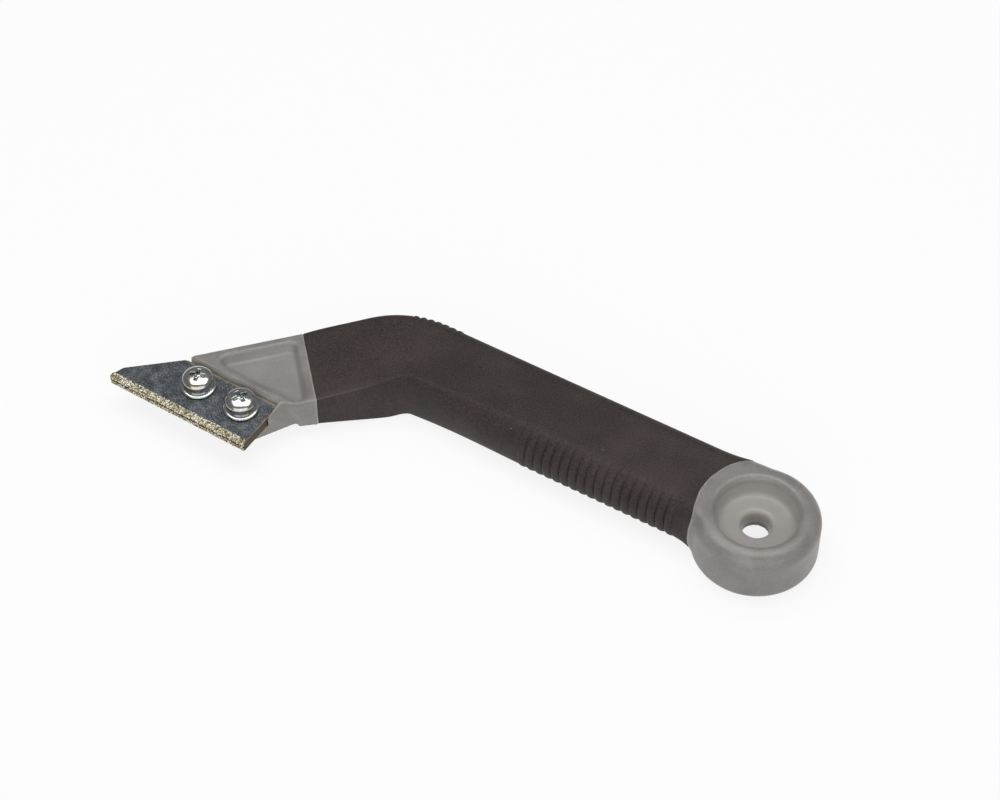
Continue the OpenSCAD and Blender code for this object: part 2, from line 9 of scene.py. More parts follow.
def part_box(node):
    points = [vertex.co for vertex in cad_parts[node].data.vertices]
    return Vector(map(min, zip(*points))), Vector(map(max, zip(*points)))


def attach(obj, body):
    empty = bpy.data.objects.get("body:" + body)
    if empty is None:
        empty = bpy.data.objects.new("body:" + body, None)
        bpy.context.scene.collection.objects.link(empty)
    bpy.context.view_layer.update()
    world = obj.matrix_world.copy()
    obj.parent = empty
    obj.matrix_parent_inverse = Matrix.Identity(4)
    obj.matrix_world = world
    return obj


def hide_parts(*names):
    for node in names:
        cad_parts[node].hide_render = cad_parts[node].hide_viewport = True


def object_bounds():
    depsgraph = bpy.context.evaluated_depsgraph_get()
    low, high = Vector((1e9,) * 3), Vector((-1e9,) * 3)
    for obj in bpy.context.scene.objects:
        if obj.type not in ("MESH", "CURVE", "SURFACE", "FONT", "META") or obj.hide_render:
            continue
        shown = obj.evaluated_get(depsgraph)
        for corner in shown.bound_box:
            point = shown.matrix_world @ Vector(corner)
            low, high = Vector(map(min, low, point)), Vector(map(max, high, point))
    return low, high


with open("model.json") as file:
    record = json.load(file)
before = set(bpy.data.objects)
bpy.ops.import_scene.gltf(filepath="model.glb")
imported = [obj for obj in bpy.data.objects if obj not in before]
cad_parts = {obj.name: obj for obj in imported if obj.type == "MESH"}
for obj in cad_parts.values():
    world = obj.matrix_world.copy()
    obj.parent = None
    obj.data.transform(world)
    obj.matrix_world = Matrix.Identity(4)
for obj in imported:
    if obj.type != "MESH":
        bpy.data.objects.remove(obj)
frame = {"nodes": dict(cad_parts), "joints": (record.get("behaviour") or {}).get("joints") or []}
cad_low, cad_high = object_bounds()

# Handle core
# The grey frame of the tool, one injection moulding in polypropylene: a round end with a hanging hole,
# a tang that runs through the grip, and a head that carries the blades. Every edge has a small radius.
# Sizes are in millimetres, and each piece is brought to metres when it is finished.
MM = 0.001
core_low, core_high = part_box("handle_core")
disc_r = -core_low.x / MM
half_t = core_high.z / MM

# The round end, its dishes and its hole
disc_edge_w = 4.8
disc_edge_h = 4.0
disc_foot_w = 3.6
disc_foot_h = 3.0
dish_depth = 6.0
dish_floor = 11.2
dish_rim = 13.8
rim_round = 1.5
floor_round = 1.2
hole_mouth = 4.3
mouth_round = 1.5
hole_neck = 4.1
hole_neck_z = -1.2

# The handle runs straight, bends, and goes on as an arm that thins down to the head. A side's fullness is
# 2 where its section is rounded as a circle or an ellipse is, and more where it is squarer
grip_w = 30.4
waist = 2.0
waist_start = 68.0
straight_len = 115.2
bend_angle = math.radians(46.5)
bend_outer_r = 35.4
bend_crease = 1.6
side_round = 6.5
side_full = 2.0
root_full = 3.1
back_root_full = 3.4
back_full_start = 9.0
full_end = 23.0
end_round = 0.5
flare_r = 12.0
arm_swell = 0.5
thin_len = 30.0
thin_ease = 4.0

# The curved joint of the grip with the round end, and the head with its slanted collar
joint_ease = 5.0
joint_lead = 0.8
joint_belly = 1.5
root_sink = 0.3
head_t = 10.7
head_back = 13.2
head_front = 14.3
arm_len = 20.4
collar_slant = math.radians(4)
collar_len = 6.2

# Worked out from those. A station t is a distance along the grip's centre line, and n is taken across it
head_top = head_t / 2
joint_r = disc_r + joint_ease
joint_mid_x = joint_lead - joint_ease
grip_mid_y = grip_w / 2 - disc_r
finger_y = grip_mid_y + grip_w / 2
bend_mid_r = bend_outer_r - grip_w / 2
bend_y = grip_mid_y + bend_mid_r
bend_len = bend_mid_r * bend_angle
bend_end = straight_len + bend_len
grip_end = bend_end + arm_len
root_r = disc_r - root_sink
flare_x = math.sqrt((root_r + flare_r) ** 2 - (finger_y + flare_r) ** 2)
flare_end = flare_x * root_r / (root_r + flare_r)
arm_lean = (grip_w / 2 + arm_swell - head_front) / thin_len
arm_root_n = head_front + arm_lean * arm_len


def mix(a, b, k):
    """The value that lies a share k of the way from a to b."""
    return a + (b - a) * k


def clamp(k):
    """A share, kept between 0 and 1."""
    return min(1.0, max(0.0, k))


def ease(k):
    """A share, kept between 0 and 1, that starts and ends softly."""
    k = clamp(k)
    return k * k * (3 - 2 * k)


def turn_at(t):
    """How far the centre line has turned at station t."""
    return bend_angle * clamp((t - straight_len) / bend_len)


def place(t, n, z):
    """The point at station t of the grip's centre line, n towards the fingers and z up."""
    if t <= straight_len:
        return Vector((t, grip_mid_y + n, z))
    a = turn_at(t)
    r = bend_mid_r - n
    along = max(0.0, t - bend_end)
    x = straight_len + r * math.sin(a) + along * math.cos(a)
    y = bend_y - r * math.cos(a) + along * math.sin(a)
    return Vector((x, y, z))


def arm_s(t, n):
    """The same point's distance along the arm, from the end of the bend."""
    if t > bend_end:
        return t - bend_end
    before = max(0.0, straight_len - t) * math.cos(bend_angle)
    return (n - bend_mid_r) * math.sin(bend_angle - turn_at(t)) - before


def joint_s(n):
    """Where the collar's slanted joint crosses n."""
    return arm_len + n * math.tan(collar_slant)


collar_end = joint_s(head_front) + collar_len


def thinned(d, length):
    """Half the thickness at d along a slope from the handle down to the head, which sets in softly."""
    if d < -thin_ease:
        return half_t
    ramp = d if d > thin_ease else (d + thin_ease) ** 2 / (4 * thin_ease)
    return max(head_top, mix(half_t, head_top, ramp / length))


def face_z(s, rise):
    """Height of the top or the underside, where rise is 1 or -1 on the flat faces and 0 at mid-height."""
    if rise > 0:
        return rise * thinned(s - arm_len + thin_len, thin_len)
    return rise * thinned(s, collar_end)


def flare(t):
    """The fillet that leads the finger side into the round end."""
    if t > flare_x:
        return 0.0
    if t > flare_end:
        return flare_r - math.sqrt(flare_r ** 2 - (flare_x - t) ** 2)
    return math.sqrt(root_r ** 2 - t ** 2) - finger_y


def handle_line(t):
    """The handle's finger side, carried on straight past the start of the bend."""
    waist_n = grip_w / 2 - waist * ease((t - waist_start) / (straight_len - waist_start))
    return bend_mid_r - (bend_mid_r - waist_n) / math.cos(turn_at(t))


def arm_line(t):
    """The arm's finger side, carried back straight through the bend."""
    if t > bend_end:
        return head_front + arm_lean * max(0.0, grip_end - t)
    b = bend_angle - turn_at(t)
    in_bend = bend_mid_r - (bend_mid_r - arm_root_n) / (math.cos(b) + arm_lean * math.sin(b))
    return in_bend - max(0.0, straight_len - t) * math.tan(bend_angle)


def finger_n(t):
    """The two straight lines of the finger side, which cross in a soft crease inside the bend."""
    a = handle_line(t)
    b = arm_line(t)
    return max(a, b) + max(0.0, bend_crease - abs(a - b)) ** 2 / (4 * bend_crease) + flare(t)


def back_n(t):
    """The back's distance from the centre line, which narrows to the head and sinks at the round end."""
    arm_share = clamp((t - grip_end + thin_len) / thin_len)
    return mix(grip_w / 2, head_back, arm_share) - root_sink * (1 - ease(t / flare_end))


def finger_round(t):
    """Width of the finger side's rounding, which narrows from the start of the waist on."""
    return mix(side_round, end_round, ease((t - waist_start) / (bend_end - waist_start)))


def back_round(t):
    """Width of the back's rounding, which narrows from the start of the bend on."""
    return mix(side_round, end_round, ease((t - straight_len) / (grip_end - straight_len)))


side_steps = 28
flat_steps = 12


def section(t, inset=0.0):
    """A section of the handle, from the top of the finger side round to the top of the back.

    It is two rounded sides joined by flat faces. Each point is n, z and the cosine of its side's angle,
    which is positive on the finger side, negative on the back and 0 on the flats.
    """
    finger_full = mix(root_full, side_full, ease((t - flare_end) / (full_end - flare_end)))
    to_grip = clamp((t - back_full_start) / (full_end - back_full_start))
    back_full = mix(side_full, back_root_full, (1 - to_grip) ** 3)
    shrink = 1 - inset / half_t
    finger = (1, finger_n(t) - inset, finger_round(t), 2 / finger_full)
    back = (-1, back_n(t) - inset, back_round(t), 2 / back_full)
    points = []
    for near, far in ((finger, back), (back, finger)):
        side, edge, rounding, power = near
        _, far_edge, far_rounding, _ = far
        flat = side * (edge - rounding)
        far_flat = side * (far_rounding - far_edge)
        for k in range(side_steps + 1):
            a = side * math.pi * (0.5 - k / side_steps)
            lean = max(0.0, math.cos(a))
            rise = math.copysign(abs(math.sin(a)) ** power, a)
            n = flat + side * rounding * lean ** power
            points.append((n, shrink * face_z(arm_s(t, flat), rise), side * lean))
        for k in range(1, flat_steps):
            n = mix(flat, far_flat, k / flat_steps)
            points.append((n, shrink * face_z(arm_s(t, n), -side), 0.0))
    return points


def loft_rings(stations, inset=0.0):
    """The sections at some stations, as rings of points in their places."""
    return [[place(t, n, z) for n, z, _ in section(t, inset)] for t in stations]


def even(start, end, steps):
    """Evenly spaced values from start up to, and without, end."""
    return [mix(start, end, k / steps) for k in range(steps)]


weld_distance = 1e-5


def solid(points, faces):
    """A closed working mesh in millimetres, with its faces turned outwards."""
    mesh = bpy.data.meshes.new("work")
    mesh.from_pydata([tuple(p) for p in points], [], faces)
    form = bmesh.new()
    form.from_mesh(mesh)
    bmesh.ops.remove_doubles(form, verts=form.verts, dist=weld_distance)
    bmesh.ops.recalc_face_normals(form, faces=form.faces)
    form.to_mesh(mesh)
    form.free()
    work = bpy.data.objects.new("work", mesh)
    bpy.context.scene.collection.objects.link(work)
    return work


def skin(rings, closed=False):
    """A solid over rings of points: a bar with two end faces, or a closed ring of them."""
    size = len(rings[0])
    count = len(rings)
    faces = []
    for i in range(count if closed else count - 1):
        a = i * size
        b = (i + 1) % count * size
        faces += [(a + j, a + (j + 1) % size, b + (j + 1) % size, b + j) for j in range(size)]
    if not closed:
        faces += [tuple(range(size)), tuple(range((count - 1) * size, count * size))]
    return solid([p for ring in rings for p in ring], faces)


def spin(profile, steps):
    """A turned solid about Z, from a closed profile of radius and height."""
    turns = even(0.0, 2 * math.pi, steps)
    return skin([[(r * math.cos(a), r * math.sin(a), z) for r, z in profile] for a in turns], closed=True)


def flat_points(outline, z):
    """The points of an outline at one height."""
    return [(x, y, z) for x, y in outline]


def prism(outline, low, high):
    """An upright solid over an outline, between two heights."""
    return skin([flat_points(outline, z) for z in (low, high)])


def hull(points):
    """The convex solid that wraps some points."""
    form = bmesh.new()
    for point in points:
        form.verts.new(point)
    wrapped = bmesh.ops.convex_hull(form, input=form.verts)
    bmesh.ops.delete(form, geom=wrapped["geom_interior"], context="VERTS")
    form.verts.index_update()
    corners = [v.co.copy() for v in form.verts]
    faces = [[v.index for v in face.verts] for face in form.faces]
    form.free()
    return solid(corners, faces)


def moved(work, matrix):
    """Moves the points of a working mesh, and gives it back."""
    work.data.transform(matrix)
    return work


def settle(work):
    """Turns the modifiers of a working mesh into plain geometry."""
    evaluated = work.evaluated_get(bpy.context.evaluated_depsgraph_get())
    mesh = bpy.data.meshes.new_from_object(evaluated)
    work.modifiers.clear()
    work.data = mesh
    return work


def shape(work, operation, *tools):
    """Joins tools to a working mesh, or cuts them from it, and removes them."""
    for tool in tools:
        change = work.modifiers.new(operation, "BOOLEAN")
        change.operation = operation
        change.solver = "MANIFOLD"
        change.object = tool
        settle(work)
        bpy.data.objects.remove(tool)
    return work


smooth_share = 0.5


def soften(work, grid, rounds, softer=None, more_rounds=0):
    """Gives a working mesh an even net of faces and rounds its edges, as a mould does.

    It is rounded more at the points for which softer is true.
    """
    net = work.modifiers.new("net", "REMESH")
    net.mode = "VOXEL"
    net.voxel_size = grid
    net.use_smooth_shade = True
    smooth = work.modifiers.new("round", "SMOOTH")
    smooth.factor = smooth_share
    smooth.iterations = rounds
    settle(work)
    if softer:
        group = work.vertex_groups.new(name="softer")
        group.add([v.index for v in work.data.vertices if softer(v.co)], 1.0, "REPLACE")
        more = work.modifiers.new("softer", "SMOOTH")
        more.vertex_group = group.name
        more.factor = smooth_share
        more.iterations = more_rounds
        settle(work)
        work.vertex_groups.clear()
    return work


def store(work, name, kind, values):
    """Keeps one value for each point of a mesh under a name."""
    layer = work.data.attributes.new(name, kind, "POINT")
    layer.data.foreach_set("vector" if kind == "FLOAT_VECTOR" else "value", values)


def finish_piece(work, name, body, nodes, material, sharp=math.radians(50)):
    """Names a working mesh, brings it to metres, dresses it and ties it to its body and nodes."""
    work.name = name
    work.data.name = name
    work.data.transform(Matrix.Scale(MM, 4))
    work.data.shade_smooth()
    work.data.set_sharp_from_angle(angle=sharp)
    work.data.materials.clear()
    work.data.materials.append(material)
    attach(work, body)
    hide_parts(*nodes)


def spaced(size_mm):
    """The scale of a texture whose marks are about this many millimetres apart."""
    return 1 / (size_mm * MM)


def linear(colour):
    """An sRGB hex colour as linear red, green, blue and alpha."""
    channels = [int(colour[i:i + 2], 16) / 255 for i in (1, 3, 5)]
    return [c / 12.92 if c <= 0.04045 else ((c + 0.055) / 1.055) ** 2.4 for c in channels] + [1.0]


def add(tree, kind, inputs=None, stops=(), **settings):
    """Adds a node with its settings. An input is a value, or the node or output that is linked to it.

    Inputs go by name, or by number on a node that has several of one name.
    """
    node = tree.nodes.new(kind)
    for name, value in settings.items():
        setattr(node, name, value)
    for name, value in (inputs or {}).items():
        if isinstance(value, bpy.types.Node):
            value = value.outputs[0]
        if isinstance(value, bpy.types.NodeSocket):
            tree.links.new(value, node.inputs[name])
        else:
            node.inputs[name].default_value = value
    for k, (position, colour) in enumerate(stops):
        if k >= len(node.color_ramp.elements):
            node.color_ramp.elements.new(1.0)
        node.color_ramp.elements[k].position = position
        node.color_ramp.elements[k].color = linear(colour)
    return node


def new_material(name):
    """A material with no nodes in it yet, and its node tree."""
    material = bpy.data.materials.new(name)
    material.use_nodes = True
    material.node_tree.nodes.clear()
    return material, material.node_tree


def moulded_polypropylene():
    """Moulded polypropylene: cloudy grey, slightly translucent and satin, with painted light that makes
    recesses paler, and a paler line along the joints with the grip.

    The mould's grain is finer than half a millimetre, and is drawn that coarse so that it shows.
    """
    material, tree = new_material("moulded_polypropylene")
    where = add(tree, "ShaderNodeTexCoord").outputs["Object"]
    clouds = add(tree, "ShaderNodeTexNoise", {"Vector": where, "Scale": spaced(9), "Detail": 4.0})
    specks = add(tree, "ShaderNodeTexNoise", {"Vector": where, "Scale": spaced(0.7), "Detail": 2.0})
    both = add(tree, "ShaderNodeMix", {0: 0.4, 2: clouds, 3: specks})
    tone = add(tree, "ShaderNodeValToRGB", {0: both}, stops=[(0.36, "#797572"), (0.64, "#8D8986")])
    # Painted light: a stored share lightens recesses towards a paler grey, in place of the light that
    # reaches them
    painted_recess_light = add(tree, "ShaderNodeAttribute", attribute_name="painted_recess_light").outputs["Fac"]
    with_recess_light = add(tree, "ShaderNodeMix", {0: painted_recess_light, 6: tone, 7: linear("#A8A4A0")}, data_type="RGBA")
    # A paler line along the joints with the grip
    pale_joint_line = add(tree, "ShaderNodeAttribute", attribute_name="pale_joint_line").outputs["Fac"]
    colour = add(tree, "ShaderNodeMix", {
        0: pale_joint_line, 6: with_recess_light.outputs[2], 7: linear("#BFBAB2"),
    }, data_type="RGBA")
    rubbed = add(tree, "ShaderNodeTexNoise", {"Vector": where, "Scale": spaced(5), "Detail": 5.0})
    gloss = add(tree, "ShaderNodeMapRange", {"Value": rubbed, "To Min": 0.28, "To Max": 0.42})
    grain = add(tree, "ShaderNodeTexNoise", {"Vector": where, "Scale": spaced(0.5), "Detail": 3.0})
    relief = add(tree, "ShaderNodeBump", {"Strength": 0.2, "Distance": 0.05 * MM, "Height": grain})
    surface = add(tree, "ShaderNodeBsdfPrincipled", {
        "Base Color": colour.outputs[2],
        "Roughness": gloss,
        "Normal": relief,
        "Subsurface Weight": 0.6,
        "Subsurface Radius": (1.0, 0.95, 0.9),
        "Subsurface Scale": 2.0 * MM,
    })
    add(tree, "ShaderNodeOutputMaterial", {"Surface": surface})
    return material


# The round end, with a dish on both faces. Cutting shapes reach past the faces that they cut
disc_steps = 192
arc_steps = 16
mouth_steps = 6
core_grid = 0.42
core_rounds = 3
dish_rounds = 16
past = 1.0
quarter = [math.pi / 2 * k / arc_steps for k in range(arc_steps + 1)]
upper_edge = [
    (disc_r - disc_edge_w * (1 - math.cos(a)), half_t - disc_edge_h * (1 - math.sin(a))) for a in quarter
]
lower_edge = [
    (disc_r - disc_foot_w * (1 - math.sin(a)), disc_foot_h * (1 - math.cos(a)) - half_t) for a in quarter
]
round_end = spin([(0, -half_t)] + lower_edge + upper_edge + [(0, half_t)], disc_steps)
rim_rise = dish_depth - rim_round
rim_run = dish_rim - dish_floor
dish_slope = math.atan2(rim_rise, rim_run) + math.asin(rim_round / math.hypot(rim_rise, rim_run))
dish_turns = [dish_slope * k / arc_steps for k in range(arc_steps + 1)]
floor_arc_r = dish_floor - floor_round * math.tan(dish_slope / 2)
web = half_t - dish_depth
dish_profile = [(0, web)]
dish_profile += [
    (floor_arc_r + floor_round * math.sin(a), web + floor_round * (1 - math.cos(a))) for a in dish_turns
]
dish_profile += [
    (dish_rim - rim_round * math.sin(a), half_t - rim_round * (1 - math.cos(a)))
    for a in reversed(dish_turns)
]
dish_profile += [(dish_rim, half_t + past), (0, half_t + past)]
dishes = [spin([(r, side * z) for r, z in dish_profile], disc_steps) for side in (1, -1)]
hole_profile = [(0, -web - past), (hole_neck, -web - past), (hole_neck, hole_neck_z)]
hole_profile += [
    (hole_mouth + mouth_round * (1 - math.cos(a)), web - mouth_round * (1 - math.sin(a)))
    for a in even(0, math.pi / 2, mouth_steps)
]
hole_profile += [(hole_mouth + mouth_round, web + past), (0, web + past)]
hole = spin(hole_profile, disc_steps)

# The neck fills the corner up to the grip's curved joint and runs on a little way under the grip
neck_lap = 2.0
neck_lap_depth = 0.6
joint_steps = 16
neck_steps = 24
neck_end_steps = 8
joint_half = half_t + past
joint_wander = 0.25
wander_size = 4.0


def joint_radius(a, z):
    """Radius of the curved joint with the grip, which bulges at mid-height and wanders a little."""
    wander = noise.noise(Vector((joint_r * math.cos(a), joint_r * math.sin(a), z)) / wander_size)
    return joint_r - joint_belly * (z / half_t) ** 2 + joint_wander * wander


def joint_barrel(lap=0.0):
    """The solid that the curved joint bounds, grown by a lap."""
    rings = []
    for a in even(0.0, 2 * math.pi, disc_steps):
        heights = [mix(-joint_half, joint_half, k / joint_steps) for k in range(joint_steps + 1)]
        profile = [(0, -joint_half)] + [(joint_radius(a, z) + lap, z) for z in heights] + [(0, joint_half)]
        rings.append([(joint_mid_x + r * math.cos(a), r * math.sin(a), z) for r, z in profile])
    return skin(rings, closed=True)


neck_end = disc_r + joint_lead + neck_lap + past
neck_stations = [0.0, flare_end / 2] + even(flare_end, flare_x, neck_steps)
neck_stations += even(flare_x, neck_end, neck_end_steps) + [neck_end]
neck = shape(skin(loft_rings(neck_stations)), "INTERSECT", joint_barrel())
lap_stations = even(flare_end, neck_end, neck_steps) + [neck_end]
lap = shape(skin(loft_rings(lap_stations, neck_lap_depth)), "INTERSECT", joint_barrel(neck_lap))
shape(round_end, "UNION", neck, lap)
shape(round_end, "DIFFERENCE", *dishes, hole)


def in_dish(point):
    """Whether a point lies in a dish, on its rim's inner edge or in the hole above its straight foot."""
    r = point.to_2d().length
    in_foot = r < hole_neck + past / 2 and -web - past / 2 < point.z < hole_neck_z
    return r < dish_rim and not in_foot


def at_root(point):
    """Whether a point lies where the neck runs out of the round end's edge."""
    return point.x > 0 and dish_rim + past / 2 < point.to_2d().length < disc_r + 2 * past


soften(
    round_end, core_grid, core_rounds,
    softer=lambda point: in_dish(point) or at_root(point), more_rounds=dish_rounds,
)

# The head, drawn in the arm's own frame: s along the arm from the bend, n towards the fingers
collar_step = 0.6
pad_relief = 1.1
pad_wall = 2.0
pad_tuck = 3.6
step_over = 1.1
step_gap = 0.12
panel_start = 2.4
panel_rim = 2.6
panel_depth = 2.7
panel_draft = 1.2
panel_corner_r = 2.2
panel_fillet = 0.7
panel_turn_steps = 32
head_grid = 0.3
head_rounds = 4
recess_rounds = 32
screw_hole_steps = 64
insert_r = 3.5
blade_h = 18.0
blade_t = 1.6
hole_heel = 9.0
hole_back = 6.6

# The blades have a frame too: u from the rear screw's axis to the front one's, w to the cutting edges
arm = Matrix.Translation(place(bend_end, 0, 0)) @ Matrix.Rotation(bend_angle, 4, "Z")
axes = {joint["name"]: Vector(joint["pos_m"]) / MM for joint in frame["joints"] if "pos_m" in joint}
rear_axis = axes["rear_screw_turn"]
front_axis = axes["front_screw_turn"]
blade_line = front_axis - rear_axis
blade_angle = math.atan2(blade_line.y, blade_line.x)
screw_pitch = blade_line.length
blade_frame = Matrix.Translation((rear_axis.x, rear_axis.y, 0)) @ Matrix.Rotation(blade_angle, 4, "Z")
to_arm = arm.inverted()
to_blade = blade_frame.inverted()
blade_to_arm = to_arm @ blade_frame
step_w = -hole_back - step_gap
heel_u = -hole_heel - step_gap
pad_front = insert_r + pad_wall
pad_bottom = pad_relief - head_top


def from_blade(u, w):
    """A point of the blades' frame, given in the arm's frame."""
    return (blade_to_arm @ Vector((u, w, 0))).to_2d()


def cross_at(w, n):
    """Where a line along the blades at w crosses a line along the arm at n."""
    start = from_blade(0, w)
    step = from_blade(1, w) - start
    return start + step * ((n - start.y) / step.y)


step_end = from_blade(heel_u - step_over, step_w)
pad_heel = from_blade(heel_u + pad_tuck, pad_front)
head_outline = [
    (joint_s(-head_back), -head_back),
    cross_at(step_w, -head_back),
    step_end,
    (collar_end, head_front),
    (joint_s(head_front), head_front),
]
collar_outline = [
    (joint_s(-head_back), -head_back),
    (joint_s(-head_back) + collar_len, -head_back),
    (collar_end, head_front),
    (joint_s(head_front), head_front),
]
pad_outline = [
    (joint_s(-head_back) + past, -head_back),
    cross_at(pad_front, -head_back),
    pad_heel,
    step_end,
    (collar_end, head_front - collar_step),
    (joint_s(head_front) + past, head_front - collar_step),
]
panel_back = panel_rim - head_back
panel_front = head_front - panel_rim / 2
panel_outline = [
    Vector((joint_s(panel_back) + panel_start, panel_back)),
    cross_at(step_w - panel_rim, panel_back),
    cross_at(step_w - panel_rim, panel_front),
    Vector((joint_s(panel_front) + panel_start, panel_front)),
]


def drawn_in(outline, distance):
    """The corners of a convex outline, listed anticlockwise, after its sides move inwards."""
    corners = []
    for i, corner in enumerate(outline):
        before = (corner - outline[i - 1]).normalized()
        after = (outline[(i + 1) % len(outline)] - corner).normalized()
        inward = Vector((-before.y - after.y, before.x + after.x)).normalized()
        share = inward.dot(Vector((-before.y, before.x)))
        corners.append(corner + inward * (distance / share))
    return corners


def panel_ring(inset, z):
    """The panel's rounded outline at one height, as points on a circle round each corner."""
    r = panel_corner_r - inset
    turns = even(0.0, 2 * math.pi, panel_turn_steps)
    corners = drawn_in(panel_outline, panel_corner_r)
    return [(c.x + r * math.cos(a), c.y + r * math.sin(a), z) for c in corners for a in turns]


head = prism(head_outline, pad_bottom, head_top)
underside = [(s, n, mix(-half_t, -head_top, s / collar_end)) for s, n in collar_outline]
collar = hull(flat_points(collar_outline, head_top) + underside)
pad_near = (collar_end + collar_step, head_front - collar_step)
heel_stop = hull(
    flat_points((step_end, from_blade(0, step_w), from_blade(0, step_w - past)), head_top)
    + flat_points((step_end, from_blade(heel_u, 0), from_blade(0, step_w)), 2 * blade_t)
    + flat_points((pad_near, from_blade(0, step_w), pad_heel), pad_bottom)
)
shape(head, "UNION", prism(pad_outline, pad_bottom, 0), collar, heel_stop)
panel_floor = head_top - panel_depth
panel_points = panel_ring(0, half_t) + panel_ring(0, head_top)
for a in quarter:
    inset = panel_draft + panel_fillet * (1 - math.cos(a))
    panel_points += panel_ring(inset, panel_floor + panel_fillet * (1 - math.sin(a)))
reach = 3 * blade_h
pocket = prism([(heel_u, step_w), (reach, step_w), (reach, reach), (heel_u, reach)], 0, half_t)
shape(head, "DIFFERENCE", hull(panel_points), moved(pocket, blade_to_arm))
insert_profile = [(0, pad_bottom - past), (insert_r, pad_bottom - past), (insert_r, past), (0, past)]
for u in (0, screw_pitch):
    insert_hole = spin(insert_profile, screw_hole_steps)
    shape(head, "DIFFERENCE", moved(insert_hole, blade_to_arm @ Matrix.Translation((u, 0, 0))))


def at_panel(point):
    """Whether a point of the head lies on the panel's walls, its floor or the inner edge of its rim."""
    s, n, z = to_arm @ point
    over_step = (to_blade @ point).y < step_w - panel_rim / 2
    past_collar = s > joint_s(n) + panel_start / 2
    across = panel_back - panel_rim / 2 < n < head_front - panel_rim / 4
    return z > panel_floor - past / 2 and past_collar and across and over_step


def at_step(point):
    """Whether a point of the head lies on the wall that stands above the blades' back edges."""
    u, w, z = to_blade @ point
    return z > 2 * blade_t - past / 2 and u > heel_u and abs(w - step_w) < past


soften(
    moved(head, arm), head_grid, head_rounds,
    softer=lambda point: at_panel(point) or at_step(point), more_rounds=recess_rounds,
)

# The tang, pierced so that the grip locks on to it
tang_w = 18.0
tang_t = 7.0
tang_wall = 0.9
anchor_count = 4
anchor_r = 3.5
anchor_first = 30.0
anchor_lead = 7.5
anchor_steps = 48
bend_steps = 24
sleeve_end = grip_end + head_front * math.tan(collar_slant) + past
tang_line = [dish_rim + tang_wall] + even(straight_len, bend_end, bend_steps) + [bend_end, sleeve_end]
tang_edge = [place(t, tang_w / 2, 0) for t in tang_line]
tang_edge += [place(t, -tang_w / 2, 0) for t in reversed(tang_line)]
tang = prism([p.to_2d() for p in tang_edge], -tang_t / 2, tang_t / 2)
anchor_profile = [(0, -half_t), (anchor_r, -half_t), (anchor_r, half_t), (0, half_t)]
for k in range(anchor_count):
    x = mix(anchor_first, straight_len - anchor_lead, k / (anchor_count - 1))
    anchor = spin(anchor_profile, anchor_steps)
    shape(tang, "DIFFERENCE", moved(anchor, Matrix.Translation((x, grip_mid_y, 0))))

# The grip is cut to fit a copy of the finished core
handle_core = shape(round_end, "UNION", tang, head)
core_copy = bpy.data.objects.new("core_copy", handle_core.data.copy())
bpy.context.scene.collection.objects.link(core_copy)

# A thin paler line runs along both joints with the grip. Recesses get painted light, a paler colour that
# stands in for the light reaching them:
# fully on the walls of the dishes and the step, and by these shares on the dishes' floors and in the panel
pale_joint_line_w = 0.55
dish_floor_share = 0.65
panel_share = 0.3


def pale_joint_line_at(point):
    """1 on a joint with the grip, falling to 0 at the pale line's width from it."""
    from_mid = Vector((point.x - joint_mid_x, point.y))
    to_curve = joint_radius(math.atan2(from_mid.y, from_mid.x), point.z) - from_mid.length
    on_arm = to_arm @ point
    to_collar = (on_arm.x - joint_s(on_arm.y)) * math.cos(collar_slant)
    near = to_curve if point.x < straight_len else to_collar
    return clamp(1 - abs(near) / pale_joint_line_w)


def painted_recess_light_at(point):
    """The share of painted light in recesses: 0 on open faces, and up to 1 in the dishes, the panel and
    the step.
    """
    r = point.to_2d().length
    if in_dish(point):
        on_rim = ease((r - floor_arc_r) / floor_round)
        in_hole = ease((hole_mouth + mouth_round - r) / mouth_round)
        sunk = clamp((half_t - abs(point.z)) / (dish_depth / 2))
        return sunk * mix(dish_floor_share, 1.0, max(on_rim, in_hole))
    if at_panel(point):
        return clamp((head_top - point.z) / (panel_depth / 2)) * panel_share
    return 1.0 if at_step(point) and point.z < head_top - past / 2 else 0.0


store(handle_core, "pale_joint_line", "FLOAT", [pale_joint_line_at(v.co) for v in handle_core.data.vertices])
# The share of painted light in recesses, for each point
store(handle_core, "painted_recess_light", "FLOAT", [painted_recess_light_at(v.co) for v in handle_core.data.vertices])
polypropylene = moulded_polypropylene()
finish_piece(handle_core, "handle_core_moulding", "rake", ["handle_core"], polypropylene)

# Grip
# The dark soft sleeve moulded over the tang, in thermoplastic rubber. It has ribs for the fingers along
# one side and for the thumb round the outside of the bend, and it stops in a curve at the round end.
finger_ribs = 18
finger_rib_pitch = 2.95
finger_rib_start = 21.5
bend_ribs = 7
bend_rib_pitch = 2.6
bend_rib_lead = 5.5

# Ribs stand rib_top out of the side, and the rest of their height is the depth of the grooves. The powers
# crown and fade make the ribs' tops broad and carry them round the side
rib_top = 0.4
finger_rib_h = 0.85
finger_rib_fade = 0.5
bend_rib_h = 1.2
bend_rib_fade = 0.4
rib_crown = 0.75

# Steps of the sleeve's mesh, and the width of the pale line on its edge, which is partly wear and partly
# painted highlight
rib_samples = 12
flare_steps = 16
root_steps = 4
handle_steps = 40
arm_steps = 24
highlit_edge_w = 0.6
finger_rib_end = finger_rib_start + finger_ribs * finger_rib_pitch
bend_rib_start = straight_len - bend_rib_lead
bend_rib_end = bend_rib_start + bend_ribs * bend_rib_pitch
outside_ratio = bend_outer_r / bend_mid_r


def outside_len(t):
    """Distance along the outside of the bend at station t."""
    return t if t < straight_len else straight_len + (t - straight_len) * outside_ratio


def station_of(length):
    """The station at a distance along the outside of the bend."""
    return length if length < straight_len else straight_len + (length - straight_len) / outside_ratio


